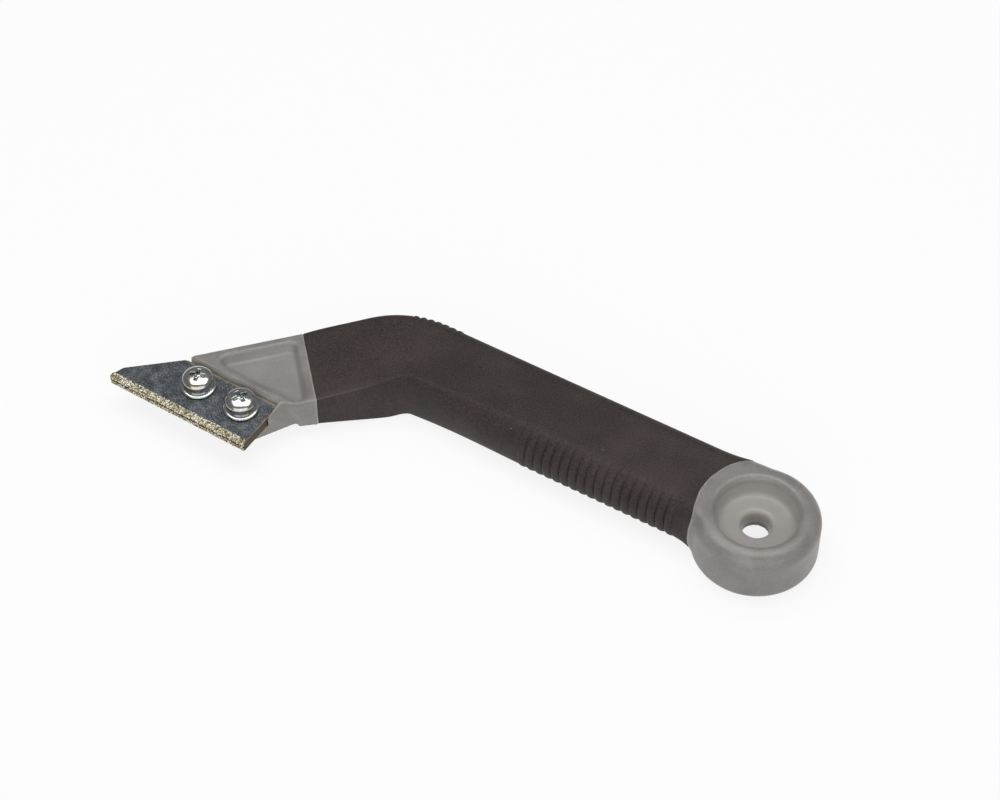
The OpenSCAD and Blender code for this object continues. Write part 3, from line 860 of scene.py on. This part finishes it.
bend_rib_steps = bend_ribs * rib_samples
grip_stations = [disc_r / 2] + even(flare_end, flare_x, flare_steps)
grip_stations += even(flare_x, finger_rib_start, root_steps)
grip_stations += even(finger_rib_start, finger_rib_end, finger_ribs * rib_samples)
grip_stations += even(finger_rib_end, bend_rib_start, handle_steps)
grip_stations += [station_of(length) for length in even(bend_rib_start, bend_rib_end, bend_rib_steps)]
grip_stations += even(station_of(bend_rib_end), bend_end, bend_steps)
grip_stations += even(bend_end, sleeve_end, arm_steps) + [sleeve_end]
grip = skin(loft_rings(grip_stations))

# Each point knows how far along both runs of ribs it is, which way is outwards and how far its side leans
section_points = [(t, lean) for t in grip_stations for _, _, lean in section(t)]
outward = [place(t, 1, 0) - place(t, 0, 0) for t, _ in section_points]
store(grip, "finger_run", "FLOAT", [t - finger_rib_start for t, _ in section_points])
store(grip, "bend_run", "FLOAT", [outside_len(t) - bend_rib_start for t, _ in section_points])
store(grip, "swell", "FLOAT", [lean for _, lean in section_points])
store(grip, "outward", "FLOAT_VECTOR", [c for v in outward for c in v])


def moulded_rubber():
    """Moulded thermoplastic rubber: brownish black and matt, with fine grain, dust specks and a pale line
    along the arm's edge that is partly wear and partly painted highlight.

    The mould's grain is finer than half a millimetre, and is drawn that coarse so that it shows.
    """
    material, tree = new_material("moulded_thermoplastic_rubber")
    where = add(tree, "ShaderNodeTexCoord").outputs["Object"]
    clouds = add(tree, "ShaderNodeTexNoise", {"Vector": where, "Scale": spaced(14), "Detail": 5.0})
    grain = add(tree, "ShaderNodeTexNoise", {"Vector": where, "Scale": spaced(0.5), "Detail": 3.0})
    both = add(tree, "ShaderNodeMix", {0: 0.65, 2: clouds, 3: grain})
    tone = add(tree, "ShaderNodeValToRGB", {0: both}, stops=[(0.36, "#231D1C"), (0.64, "#413835")])
    spots = add(tree, "ShaderNodeTexVoronoi", {"Vector": where, "Scale": spaced(9)})
    dust = add(tree, "ShaderNodeMapRange", {
        "Value": spots, "From Min": 0.018, "From Max": 0.03, "To Min": 0.5, "To Max": 0.0,
    })
    dusty = add(tree, "ShaderNodeMix", {0: dust, 6: tone, 7: linear("#7F7870")}, data_type="RGBA")
    # A paler line along the arm's top edge, partly wear and partly painted highlight
    from_edge = add(tree, "ShaderNodeAttribute", attribute_name="from_highlit_worn_edge").outputs["Fac"]
    highlit_worn = add(tree, "ShaderNodeMapRange", {
        "Value": from_edge, "From Min": 0.0, "From Max": highlit_edge_w, "To Min": 1.0, "To Max": 0.0,
    })
    colour = add(tree, "ShaderNodeMix", {
        0: highlit_worn, 6: dusty.outputs[2], 7: linear("#6A625D"),
    }, data_type="RGBA")
    rubbed = add(tree, "ShaderNodeTexNoise", {"Vector": where, "Scale": spaced(6), "Detail": 4.0})
    gloss = add(tree, "ShaderNodeMapRange", {"Value": rubbed, "To Min": 0.55, "To Max": 0.7})
    relief = add(tree, "ShaderNodeBump", {"Strength": 0.35, "Distance": 0.06 * MM, "Height": grain})
    surface = add(tree, "ShaderNodeBsdfPrincipled", {
        "Base Color": colour.outputs[2],
        "Roughness": gloss,
        "Specular IOR Level": 0.3,
        "Normal": relief,
    })
    add(tree, "ShaderNodeOutputMaterial", {"Surface": surface})
    return material


def new_tree(name, **inputs):
    """A geometry node tree with named inputs of the given kinds, and their outputs inside it."""
    tree = bpy.data.node_groups.new(name, "GeometryNodeTree")
    for label, kind in {"Geometry": "Geometry", **inputs, "Material": "Material"}.items():
        tree.interface.new_socket(label, in_out="INPUT", socket_type="NodeSocket" + kind)
    tree.interface.new_socket("Geometry", in_out="OUTPUT", socket_type="NodeSocketGeometry")
    return tree, add(tree, "NodeGroupInput").outputs


def end_tree(tree, geometry, material):
    """Closes a geometry node tree: real geometry, dressed in its material."""
    real = add(tree, "GeometryNodeRealizeInstances", {"Geometry": geometry})
    dressed = add(tree, "GeometryNodeSetMaterial", {"Geometry": real, "Material": material})
    add(tree, "NodeGroupOutput", {"Geometry": dressed})
    return tree


def grow(work, tree, **values):
    """Puts a node tree on a working mesh, with its named inputs set."""
    change = work.modifiers.new(tree.name, "NODES")
    change.node_group = tree
    for item in tree.interface.items_tree:
        if item.in_out == "INPUT" and item.name in values:
            change[item.identifier] = values[item.name]


def rib_tree():
    """Raises flat ribs with narrow grooves between them along one side of the grip."""
    tree, given = new_tree(
        "ribs", Run="String", Side="Float", Pitch="Float", Count="Float", Height="Float", Sink="Float",
        Crown="Float", Fade="Float",
    )
    run = add(tree, "GeometryNodeInputNamedAttribute", {"Name": given["Run"]})
    swell = add(tree, "GeometryNodeInputNamedAttribute", {"Name": "swell"})
    outward = add(tree, "GeometryNodeInputNamedAttribute", {"Name": "outward"}, data_type="FLOAT_VECTOR")
    ribs_run = add(tree, "ShaderNodeMath", {0: run, 1: given["Pitch"]}, operation="DIVIDE")
    turn = add(tree, "ShaderNodeMath", {0: ribs_run, 1: math.pi}, operation="MULTIPLY")
    wave = add(tree, "ShaderNodeMath", {0: turn}, operation="SINE")
    hump = add(tree, "ShaderNodeMath", {0: wave}, operation="ABSOLUTE")
    crowned = add(tree, "ShaderNodeMath", {0: hump, 1: given["Crown"]}, operation="POWER")
    raised = add(tree, "ShaderNodeMath", {0: crowned, 1: given["Height"]}, operation="MULTIPLY")
    height = add(tree, "ShaderNodeMath", {0: raised, 1: given["Sink"]}, operation="SUBTRACT")
    sided = add(tree, "ShaderNodeMath", {0: swell, 1: given["Side"]}, operation="MULTIPLY")
    facing = add(tree, "ShaderNodeMath", {0: sided, 1: 0.0}, operation="MAXIMUM")
    share = add(tree, "ShaderNodeMath", {0: facing, 1: given["Fade"]}, operation="POWER")
    started = add(tree, "ShaderNodeMath", {0: ribs_run, 1: 0.0}, operation="GREATER_THAN")
    not_ended = add(tree, "ShaderNodeMath", {0: ribs_run, 1: given["Count"]}, operation="LESS_THAN")
    within = add(tree, "ShaderNodeMath", {0: started, 1: not_ended}, operation="MULTIPLY")
    lift = add(tree, "ShaderNodeMath", {0: height, 1: share}, operation="MULTIPLY")
    kept = add(tree, "ShaderNodeMath", {0: lift, 1: within}, operation="MULTIPLY")
    push = add(tree, "ShaderNodeMath", {0: kept, 1: given["Side"]}, operation="MULTIPLY")
    offset = add(tree, "ShaderNodeVectorMath", {0: outward, "Scale": push}, operation="SCALE")
    ribbed = add(tree, "GeometryNodeSetPosition", {"Geometry": given["Geometry"], "Offset": offset})
    return end_tree(tree, ribbed, given["Material"])


rubber = moulded_rubber()
ribs = rib_tree()
rib_runs = (
    ("finger_run", 1.0, finger_rib_pitch, finger_ribs, finger_rib_h, finger_rib_fade),
    ("bend_run", -1.0, bend_rib_pitch, bend_ribs, bend_rib_h, bend_rib_fade),
)
for run, side, pitch, count, height, fade in rib_runs:
    grow(
        grip, ribs, Run=run, Side=side, Pitch=pitch, Count=float(count), Height=height,
        Sink=height - rib_top, Crown=rib_crown, Fade=fade, Material=rubber,
    )
settle(grip)
for name in ("finger_run", "bend_run", "swell", "outward"):
    grip.data.attributes.remove(grip.data.attributes[name])
collar_square = [(0, -grip_w), (grip_w, -grip_w), (grip_w, grip_w), (0, grip_w)]
collar_cut = prism(collar_square, -2 * half_t, 2 * half_t)
moved(collar_cut, arm @ Matrix.Translation((arm_len, 0, 0)) @ Matrix.Rotation(-collar_slant, 4, "Z"))
shape(grip, "DIFFERENCE", joint_barrel(), collar_cut, core_copy)


def from_highlit_worn_edge(point):
    """Distance from the arm's edge between its top and its finger side, where a pale line of wear and
    painted highlight runs; it ends at the bend.
    """
    s, n, z = to_arm @ point
    edge_n = head_front + arm_lean * max(0.0, arm_len - s)
    away = max(edge_n - n, face_z(s, 1) - z)
    return away + highlit_edge_w * (1 - ease((s + arm_len / 2) / arm_len))


store(grip, "from_highlit_worn_edge", "FLOAT", [from_highlit_worn_edge(v.co) for v in grip.data.vertices])
finish_piece(grip, "grip_sleeve_moulding", "rake", ["grip_sleeve"], rubber)

# Threaded inserts
# Two short bushes of brass, turned and threaded, that the core is moulded round under the blades. Only
# their lower ends show, flush with the underside of the pad.


def turned_brass():
    """Turned brass: warm yellow metal, dulled by handling in brown patches."""
    material, tree = new_material("turned_brass")
    where = add(tree, "ShaderNodeTexCoord").outputs["Object"]
    tarnish = add(tree, "ShaderNodeTexNoise", {"Vector": where, "Scale": spaced(1.5), "Detail": 4.0})
    colour = add(tree, "ShaderNodeValToRGB", {0: tarnish}, stops=[(0.3, "#8C6A33"), (0.7, "#C9A35A")])
    gloss = add(tree, "ShaderNodeMapRange", {"Value": tarnish, "To Min": 0.25, "To Max": 0.45})
    surface = add(tree, "ShaderNodeBsdfPrincipled", {
        "Base Color": colour, "Metallic": 1.0, "Roughness": gloss,
    })
    add(tree, "ShaderNodeOutputMaterial", {"Surface": surface})
    return material


brass = turned_brass()
for name in ("front_insert", "rear_insert"):
    for material_slot in frame["nodes"][name].material_slots:
        material_slot.material = brass

# Blades
# Two like plates of hardened steel, stamped and zinc plated, which lie on each other on the head's pad.
# Their stamped edges are slightly broken, and the plating is mottled blue grey, yellowed along its edges.
blade_len = 50.4
blade_back = 34.9
back_corner = 1.0
back_corner_h = 0.4
tip_h = 5.0
tip_lean = 1.6
grit_t = 0.5
screw_hole_r = 2.75
edge_break = 0.22
back_stain = (0.4, 0.9)
heel_stain = (0.2, 0.5)
blade_outline = [
    (0, 0),
    (blade_back - back_corner, 0),
    (blade_back, back_corner_h),
    (blade_len - tip_lean, blade_h - tip_h),
    (blade_len, blade_h - grit_t),
    (0, blade_h - grit_t),
]


def blade_plate(low):
    """A pierced plate whose underside lies at one height."""
    outline = [(u - hole_heel, w - hole_back) for u, w in blade_outline]
    plate = prism(outline, low, low + blade_t)
    under = low - past
    over = low + 2 * past
    pierced = [(0, under), (screw_hole_r, under), (screw_hole_r, over), (0, over)]
    for u in (0, screw_pitch):
        punch = spin(pierced, screw_hole_steps)
        shape(plate, "DIFFERENCE", moved(punch, Matrix.Translation((u, 0, 0))))
    broken = plate.modifiers.new("broken_edge", "BEVEL")
    broken.width = edge_break
    broken.segments = 2
    broken.limit_method = "ANGLE"
    broken.angle_limit = math.radians(40)
    return moved(settle(plate), blade_frame)


def plated_blade_steel():
    """Zinc-plated blade steel: a dull mirror, mottled slate blue, with pale crystals.

    Yellow passivation shows along the back and the heel, and fades out between two distances from each.
    """
    material, tree = new_material("zinc_plated_blade_steel")
    where = add(tree, "ShaderNodeTexCoord").outputs["Object"]
    flat = add(tree, "ShaderNodeMapping", {
        "Vector": where,
        "Location": to_blade.translation * MM,
        "Rotation": to_blade.to_euler(),
    })
    along = add(tree, "ShaderNodeSeparateXYZ", {0: flat}).outputs
    mottle = add(tree, "ShaderNodeTexNoise", {"Vector": flat, "Scale": spaced(0.45), "Detail": 4.0})
    blotches = add(tree, "ShaderNodeTexNoise", {"Vector": flat, "Scale": spaced(2.5), "Detail": 3.0})
    both = add(tree, "ShaderNodeMix", {0: 0.35, 2: mottle, 3: blotches})
    tone = add(tree, "ShaderNodeValToRGB", {0: both}, stops=[
        (0.36, "#474B4F"), (0.5, "#64686D"), (0.64, "#94999C"),
    ])
    near = []
    stains = ((along["Y"], hole_back, back_stain), (along["X"], hole_heel, heel_stain))
    for across, edge, (full, none) in stains:
        near.append(add(tree, "ShaderNodeMapRange", {
            "Value": across,
            "From Min": (full - edge) * MM,
            "From Max": (none - edge) * MM,
            "To Min": 1.0,
            "To Max": 0.0,
        }))
    cast = add(tree, "ShaderNodeMath", {0: near[0], 1: near[1]}, operation="MAXIMUM")
    patches = add(tree, "ShaderNodeTexNoise", {"Vector": flat, "Scale": spaced(5), "Detail": 4.0})
    patchy = add(tree, "ShaderNodeMapRange", {
        "Value": patches, "From Min": 0.4, "From Max": 0.6, "To Min": 0.3, "To Max": 0.9,
    })
    normal = add(tree, "ShaderNodeNewGeometry").outputs["Normal"]
    facing = add(tree, "ShaderNodeSeparateXYZ", {0: normal})
    upright = add(tree, "ShaderNodeMath", {0: facing.outputs["Z"]}, operation="ABSOLUTE")
    rolled = add(tree, "ShaderNodeMapRange", {"Value": upright, "From Min": 0.0, "From Max": 0.4})
    stain = add(tree, "ShaderNodeMath", {0: cast, 1: patchy}, operation="MULTIPLY")
    yellowed = add(tree, "ShaderNodeMath", {0: stain, 1: rolled}, operation="MULTIPLY")
    plated = add(tree, "ShaderNodeMix", {0: yellowed, 6: tone, 7: linear("#9C8B6C")}, data_type="RGBA")
    colour = add(tree, "ShaderNodeMix", {
        0: rolled, 6: linear("#40351F"), 7: plated.outputs[2],
    }, data_type="RGBA")
    bare = add(tree, "ShaderNodeMath", {0: 1.0, 1: yellowed}, operation="SUBTRACT")
    gloss = add(tree, "ShaderNodeMapRange", {"Value": mottle, "To Min": 0.3, "To Max": 0.44})
    relief = add(tree, "ShaderNodeBump", {"Strength": 0.2, "Distance": 0.03 * MM, "Height": mottle})
    surface = add(tree, "ShaderNodeBsdfPrincipled", {
        "Base Color": colour.outputs[2],
        "Metallic": bare,
        "Roughness": gloss,
        "Normal": relief,
    })
    add(tree, "ShaderNodeOutputMaterial", {"Surface": surface})
    return material


blade_steel = plated_blade_steel()
for layer, name in enumerate(("lower_blade", "upper_blade")):
    plate = blade_plate(layer * blade_t)
    finish_piece(
        plate, name + "_plate", "rake", [name], blade_steel,
        sharp=math.radians(10),
    )

# Grit edges
# Coarse tungsten carbide grit brazed over each blade's cutting edge and along a narrow band of its outer
# face. The braze is yellow, and the grains are tinted from dark grey to near white in small patches,
# partly their own colour and partly painted glints, with the lower edge's grains kept darker as painted
# shade.
grit_band = 2.0
grit_face_t = 0.2
grit_seam = 0.36
grain_r = 0.24
braze_share = 0.45
grains_per_mm2 = 5.0
patch_size = 0.7
smallest_grain = 0.5
darkest_tint = 0.12
grit_steps = 40
edge_w = blade_h - hole_back


def grit_strip(side):
    """The braze layer in the blades' frame, thinner than the finished layer so that grains stand out."""
    edge = edge_w - grit_t * (1 - braze_share)
    face = blade_t + grit_face_t * braze_share
    profile = [
        (edge_w - grit_t, grit_seam), (edge, grit_seam), (edge, face), (edge_w - grit_band, face),
        (edge_w - grit_band, blade_t), (edge_w - grit_t, blade_t),
    ]
    run = even(grain_r, blade_len - grain_r, grit_steps) + [blade_len - grain_r]
    return skin([[(u - hole_heel, w, blade_t + side * z) for w, z in profile] for u in run])


def brazed_grit():
    """Carbide grit in braze: grains from dark grey through straw to near white, partly painted glints, in
    dull yellow metal.
    """
    material, tree = new_material("brazed_carbide_grit")
    where = add(tree, "ShaderNodeTexCoord").outputs["Object"]
    tint = add(tree, "ShaderNodeAttribute", attribute_name="grain_tint_and_glint").outputs["Fac"]
    # The near-white stops are partly painted glints of facets that catch the light
    colour = add(tree, "ShaderNodeValToRGB", {0: tint}, stops=[
        (0.0, "#8C8058"), (0.1, "#443F35"), (0.24, "#B8AC86"), (0.4, "#E6E0C8"), (0.58, "#FFFEFA"),
    ])
    colour.color_ramp.interpolation = "CONSTANT"
    rough = add(tree, "ShaderNodeTexNoise", {"Vector": where, "Scale": spaced(0.3), "Detail": 2.0})
    gloss = add(tree, "ShaderNodeMapRange", {"Value": rough, "To Min": 0.25, "To Max": 0.5})
    surface = add(tree, "ShaderNodeBsdfPrincipled", {
        "Base Color": colour, "Metallic": 0.35, "Roughness": gloss,
    })
    add(tree, "ShaderNodeOutputMaterial", {"Surface": surface})
    return material


def grain_tree():
    """Scatters angular grains over a strip and tints them in small patches, up to a brightest tint; the
    pale tints are partly painted glints.
    """
    tree, given = new_tree("grains", Density="Float", Radius="Float", Brightest="Float", Seed="Int")
    spots = add(tree, "GeometryNodeDistributePointsOnFaces", {
        "Mesh": given["Geometry"], "Density": given["Density"], "Seed": given["Seed"],
    })
    grain = add(tree, "GeometryNodeMeshIcoSphere", {"Radius": given["Radius"], "Subdivisions": 1})
    turn = add(tree, "FunctionNodeRandomValue", {
        "Max": (2 * math.pi,) * 3, "Seed": given["Seed"],
    }, data_type="FLOAT_VECTOR")
    size = add(tree, "FunctionNodeRandomValue", {
        "Min": (smallest_grain,) * 3, "Max": (1.0, 1.0, 1.0), "Seed": given["Seed"],
    }, data_type="FLOAT_VECTOR")
    patches = add(tree, "ShaderNodeTexNoise", {"Scale": 1 / patch_size, "Detail": 1.0})
    tint = add(tree, "ShaderNodeMapRange", {
        "Value": patches,
        "From Min": 0.36,
        "From Max": 0.64,
        "To Min": darkest_tint,
        "To Max": given["Brightest"],
    })
    tinted = add(tree, "GeometryNodeStoreNamedAttribute", {
        "Geometry": spots, "Name": "grain_tint_and_glint", "Value": tint,
    })
    scattered = add(tree, "GeometryNodeInstanceOnPoints", {
        "Points": tinted, "Instance": grain, "Rotation": turn, "Scale": size,
    })
    joined = add(tree, "GeometryNodeJoinGeometry", {"Geometry": given["Geometry"]})
    tree.links.new(scattered.outputs[0], joined.inputs[0])
    return end_tree(tree, joined, given["Material"])


grit = brazed_grit()
grains = grain_tree()
# The lower strip's grains stop at a darker tint, painted shade on the lower edge
for name, side, brightest_glint, seed in (("lower_grit_edge", -1, 0.7, 11), ("upper_grit_edge", 1, 1.0, 12)):
    strip = grit_strip(side)
    grow(
        strip, grains, Density=grains_per_mm2, Radius=grain_r, Brightest=brightest_glint, Seed=seed,
        Material=grit,
    )
    moved(settle(strip), blade_frame)
    finish_piece(strip, name + "_grains", "rake", [name], grit, sharp=math.radians(20))

# Washers
# Under each screw head lie a split spring washer and a plain flat washer, both zinc plated. The flat
# washer is stamped, so its corners are rounded, and the spring washer is coiled from square wire.
flat_washer_r = 5.5
flat_washer_t = 1.0
spring_washer_r = 4.5
spring_washer_t = 1.2
spring_gap = math.radians(9)
spring_turn = math.radians(30)
flat_washer_edge = (1.2, 0.46)
spring_washer_edge = (0.2, 0.2)
washer_steps = 96
split_steps = 90
round_steps = 6


def rounded_bar(inner, outer, low, high, edge):
    """The section of a washer: a rectangle with corners rounded over a width and a height."""
    round_w, round_h = edge
    corners = ((outer, high, 1, 1), (inner, high, -1, 1), (inner, low, -1, -1), (outer, low, 1, -1))
    points = []
    for k, (r, z, out, up) in enumerate(corners):
        for step in range(round_steps + 1):
            a = math.pi / 2 * (k + step / round_steps)
            points.append((
                r - out * round_w + round_w * math.cos(a),
                z - up * round_h + round_h * math.sin(a),
            ))
    return points


def plated_zinc():
    """Bright zinc plate: pale silver, faintly blue and hazy, with patches of yellow passivation."""
    material, tree = new_material("bright_zinc_plate")
    where = add(tree, "ShaderNodeTexCoord").outputs["Object"]
    haze = add(tree, "ShaderNodeTexNoise", {"Vector": where, "Scale": spaced(1.2), "Detail": 4.0})
    tone = add(tree, "ShaderNodeValToRGB", {0: haze}, stops=[(0.3, "#B4B9B9"), (0.7, "#D3D6D5")])
    patches = add(tree, "ShaderNodeTexNoise", {"Vector": where, "Scale": spaced(6), "Detail": 2.0})
    yellowed = add(tree, "ShaderNodeMapRange", {
        "Value": patches, "From Min": 0.5, "From Max": 0.66, "To Min": 0.0, "To Max": 0.5,
    })
    colour = add(tree, "ShaderNodeMix", {0: yellowed, 6: tone, 7: linear("#C9B48A")}, data_type="RGBA")
    gloss = add(tree, "ShaderNodeMapRange", {"Value": haze, "To Min": 0.13, "To Max": 0.24})
    surface = add(tree, "ShaderNodeBsdfPrincipled", {
        "Base Color": colour.outputs[2], "Metallic": 1.0, "Roughness": gloss,
    })
    add(tree, "ShaderNodeOutputMaterial", {"Surface": surface})
    return material


zinc = plated_zinc()
washer_z = 2 * blade_t
spring_z = washer_z + flat_washer_t
head_z = spring_z + spring_washer_t
screw_axes = {"front": front_axis, "rear": rear_axis}
split_start = blade_angle + spring_turn + spring_gap / 2
split_end = split_start + 2 * math.pi - spring_gap
split_turns = even(split_start, split_end, split_steps) + [split_end]
for name, axis in screw_axes.items():
    on_axis = Matrix.Translation((axis.x, axis.y, 0))
    stamped = rounded_bar(screw_hole_r, flat_washer_r, washer_z, spring_z, flat_washer_edge)
    washer = moved(spin(stamped, washer_steps), on_axis)
    wire = rounded_bar(screw_hole_r, spring_washer_r, spring_z, head_z, spring_washer_edge)
    coil = [[(r * math.cos(a), r * math.sin(a), z) for r, z in wire] for a in split_turns]
    split = moved(skin(coil), on_axis)
    for ring, kind in ((washer, "_flat_washer"), (split, "_spring_washer")):
        finish_piece(
            ring, name + kind + "_ring", name + "_washers", [name + kind], zinc,
            sharp=math.radians(60),
        )

# Screws
# Two M5 pan head machine screws with a cross recess, cold headed and zinc plated, with rolled threads.
# They go through the washers and both blades into the brass inserts.
screw_r = 2.5
screw_len = 10.0
screw_head_r = 4.8
screw_head_h = 3.4
screw_rim_h = 1.4
thread_pitch = 0.8
thread_depth = 0.45
thread_samples = 8
recess_depth = 2.2
recess_w = 1.3
recess_span = 5.0
recess_taper = 0.6
recess_turns = {"front": math.radians(20), "rear": math.radians(65)}
screw_head_steps = 128
shank_steps = 48
screw_grid = 0.09
screw_rounds = 4


def thread_tree():
    """Cuts a helical thread into a plain shank that stands on Z."""
    tree, given = new_tree("thread", Pitch="Float", Depth="Float")
    position = add(tree, "GeometryNodeInputPosition")
    xyz = add(tree, "ShaderNodeSeparateXYZ", {0: position}).outputs
    angle = add(tree, "ShaderNodeMath", {0: xyz["Y"], 1: xyz["X"]}, operation="ARCTAN2")
    turn = add(tree, "ShaderNodeMath", {0: angle, 1: 2 * math.pi}, operation="DIVIDE")
    climb = add(tree, "ShaderNodeMath", {0: xyz["Z"], 1: given["Pitch"]}, operation="DIVIDE")
    phase = add(tree, "ShaderNodeMath", {0: climb, 1: turn}, operation="SUBTRACT")
    valley = add(tree, "ShaderNodeMath", {0: phase, 1: 0.5}, operation="PINGPONG")
    inward = add(tree, "ShaderNodeMath", {0: given["Depth"], 1: -2.0}, operation="MULTIPLY")
    depth = add(tree, "ShaderNodeMath", {0: valley, 1: inward}, operation="MULTIPLY")
    flat = add(tree, "ShaderNodeCombineXYZ", {"X": xyz["X"], "Y": xyz["Y"]})
    outward = add(tree, "ShaderNodeVectorMath", {0: flat}, operation="NORMALIZE")
    offset = add(tree, "ShaderNodeVectorMath", {0: outward, "Scale": depth}, operation="SCALE")
    cut = add(tree, "GeometryNodeSetPosition", {"Geometry": given["Geometry"], "Offset": offset})
    return end_tree(tree, cut, given["Material"])


thread = thread_tree()


def screw(turn):
    """A screw about Z, with its head on z = head_z."""
    rise = screw_head_h - screw_rim_h
    top = head_z + screw_head_h
    dome = [(screw_head_r * math.cos(a), head_z + screw_rim_h + rise * math.sin(a)) for a in quarter]
    body = spin([(0, head_z), (screw_head_r, head_z)] + dome, screw_head_steps)
    for arm_turn in (turn, turn + math.pi / 2):
        slot = []
        for z, share in ((top + past, 1.0), (top, 1.0), (top - recess_depth, recess_taper)):
            u = recess_span / 2 * share
            w = recess_w / 2 * (1 + share) / 2
            slot += [(x, y, z) for x in (-u, u) for y in (-w, w)]
        shape(body, "DIFFERENCE", moved(hull(slot), Matrix.Rotation(arm_turn, 4, "Z")))
    soften(body, screw_grid, screw_rounds)
    sunk = past / 4
    level_steps = int(thread_samples * (screw_len + sunk) / thread_pitch)
    levels = even(head_z - screw_len, head_z + sunk, level_steps)
    angles = even(0.0, 2 * math.pi, shank_steps)
    shank = skin([[(screw_r * math.cos(a), screw_r * math.sin(a), z) for a in angles] for z in levels])
    grow(shank, thread, Pitch=thread_pitch, Depth=thread_depth, Material=zinc)
    return shape(body, "UNION", settle(shank))


for name, axis in screw_axes.items():
    piece = moved(screw(blade_angle + recess_turns[name]), Matrix.Translation((axis.x, axis.y, 0)))
    finish_piece(piece, name + "_pan_head_screw", name + "_screw_body", [name + "_screw"], zinc)

# Studio
# A white painted board under the tool, a large soft box overhead, another in front, and a dim grey room,
# seen as the photograph sees it.
floor_half = 4.0
board_glow = 0.85
board_white = 0.88
floor_sides = ((-1, -1), (1, -1), (1, 1), (-1, 1))
floor_corners = [(x * floor_half, y * floor_half, cad_low.z) for x, y in floor_sides]
floor_mesh = bpy.data.meshes.new("floor")
floor_mesh.from_pydata(floor_corners, [], [(0, 1, 2, 3)])
floor = bpy.data.objects.new("floor", floor_mesh)
bpy.context.scene.collection.objects.link(floor)


def white_board():
    """White painted board: it mostly glows white to the camera, so the tool's shadow on it is faint."""
    material, tree = new_material("white_painted_board")
    path = add(tree, "ShaderNodeLightPath").outputs
    seen = path["Is Camera Ray"]
    for kind in ("Is Glossy Ray", "Is Transmission Ray"):
        seen = add(tree, "ShaderNodeMath", {0: seen, 1: path[kind]}, operation="MAXIMUM")
    share = add(tree, "ShaderNodeMath", {0: seen, 1: board_glow}, operation="MULTIPLY")
    paint = add(tree, "ShaderNodeBsdfDiffuse", {"Color": (board_white, board_white, board_white, 1.0)})
    white = add(tree, "ShaderNodeEmission", {"Color": (1.0, 1.0, 1.0, 1.0), "Strength": 1.0})
    both = add(tree, "ShaderNodeMixShader", {0: share, 1: paint, 2: white})
    add(tree, "ShaderNodeOutputMaterial", {"Surface": both})
    return material


floor_mesh.materials.append(white_board())

room_grey = 0.2
world = bpy.data.worlds.new("grey_room")
world.use_nodes = True
room = world.node_tree.nodes["Background"]
room.inputs["Color"].default_value = (room_grey, room_grey, room_grey, 1.0)
bpy.context.scene.world = world

# Lamps and camera stand round a point on the tool, at distances and sizes in metres
view_target = Vector((89.2, -3.9, 0.5)) * MM
view_azimuth = 211.1
view_elevation = 49.5
view_distance = 0.7879
lens_mm = 93.6
sensor_mm = 36.0
overhead_elevation = 82.0
front_elevation = 27.0


def towards(azimuth, elevation):
    """The direction from the tool to a place round it, in degrees. Azimuth 0 is in front, on -Y."""
    azimuth = math.radians(azimuth)
    elevation = math.radians(elevation)
    level = math.cos(elevation)
    return Vector((math.sin(azimuth) * level, -math.cos(azimuth) * level, math.sin(elevation)))


def stand(thing, back, distance):
    """Puts a lamp or a camera at a distance in one direction, turned to the tool."""
    thing.location = view_target + back * distance
    thing.rotation_euler = back.to_track_quat("Z", "Y").to_euler()
    bpy.context.scene.collection.objects.link(thing)


def soft_box(name, back, distance, width, depth, power):
    """A flat lamp that faces the tool, with its power in watts."""
    lamp = bpy.data.lights.new(name, "AREA")
    lamp.shape = "RECTANGLE"
    lamp.size = width
    lamp.size_y = depth
    lamp.energy = power
    stand(bpy.data.objects.new(name, lamp), back, distance)


overhead = towards(view_azimuth - 180, overhead_elevation)
front = towards(view_azimuth, front_elevation)
soft_box("overhead_soft_box", overhead, distance=1.0, width=1.2, depth=0.64, power=8.0)
soft_box("front_soft_box", front, distance=1.3, width=2.2, depth=1.4, power=12.0)

camera_data = bpy.data.cameras.new("camera")
camera_data.lens = lens_mm
camera_data.sensor_width = sensor_mm
camera = bpy.data.objects.new("camera", camera_data)
stand(camera, towards(view_azimuth, view_elevation), view_distance)
bpy.context.scene.camera = camera
bpy.context.scene.view_settings.view_transform = "Standard"
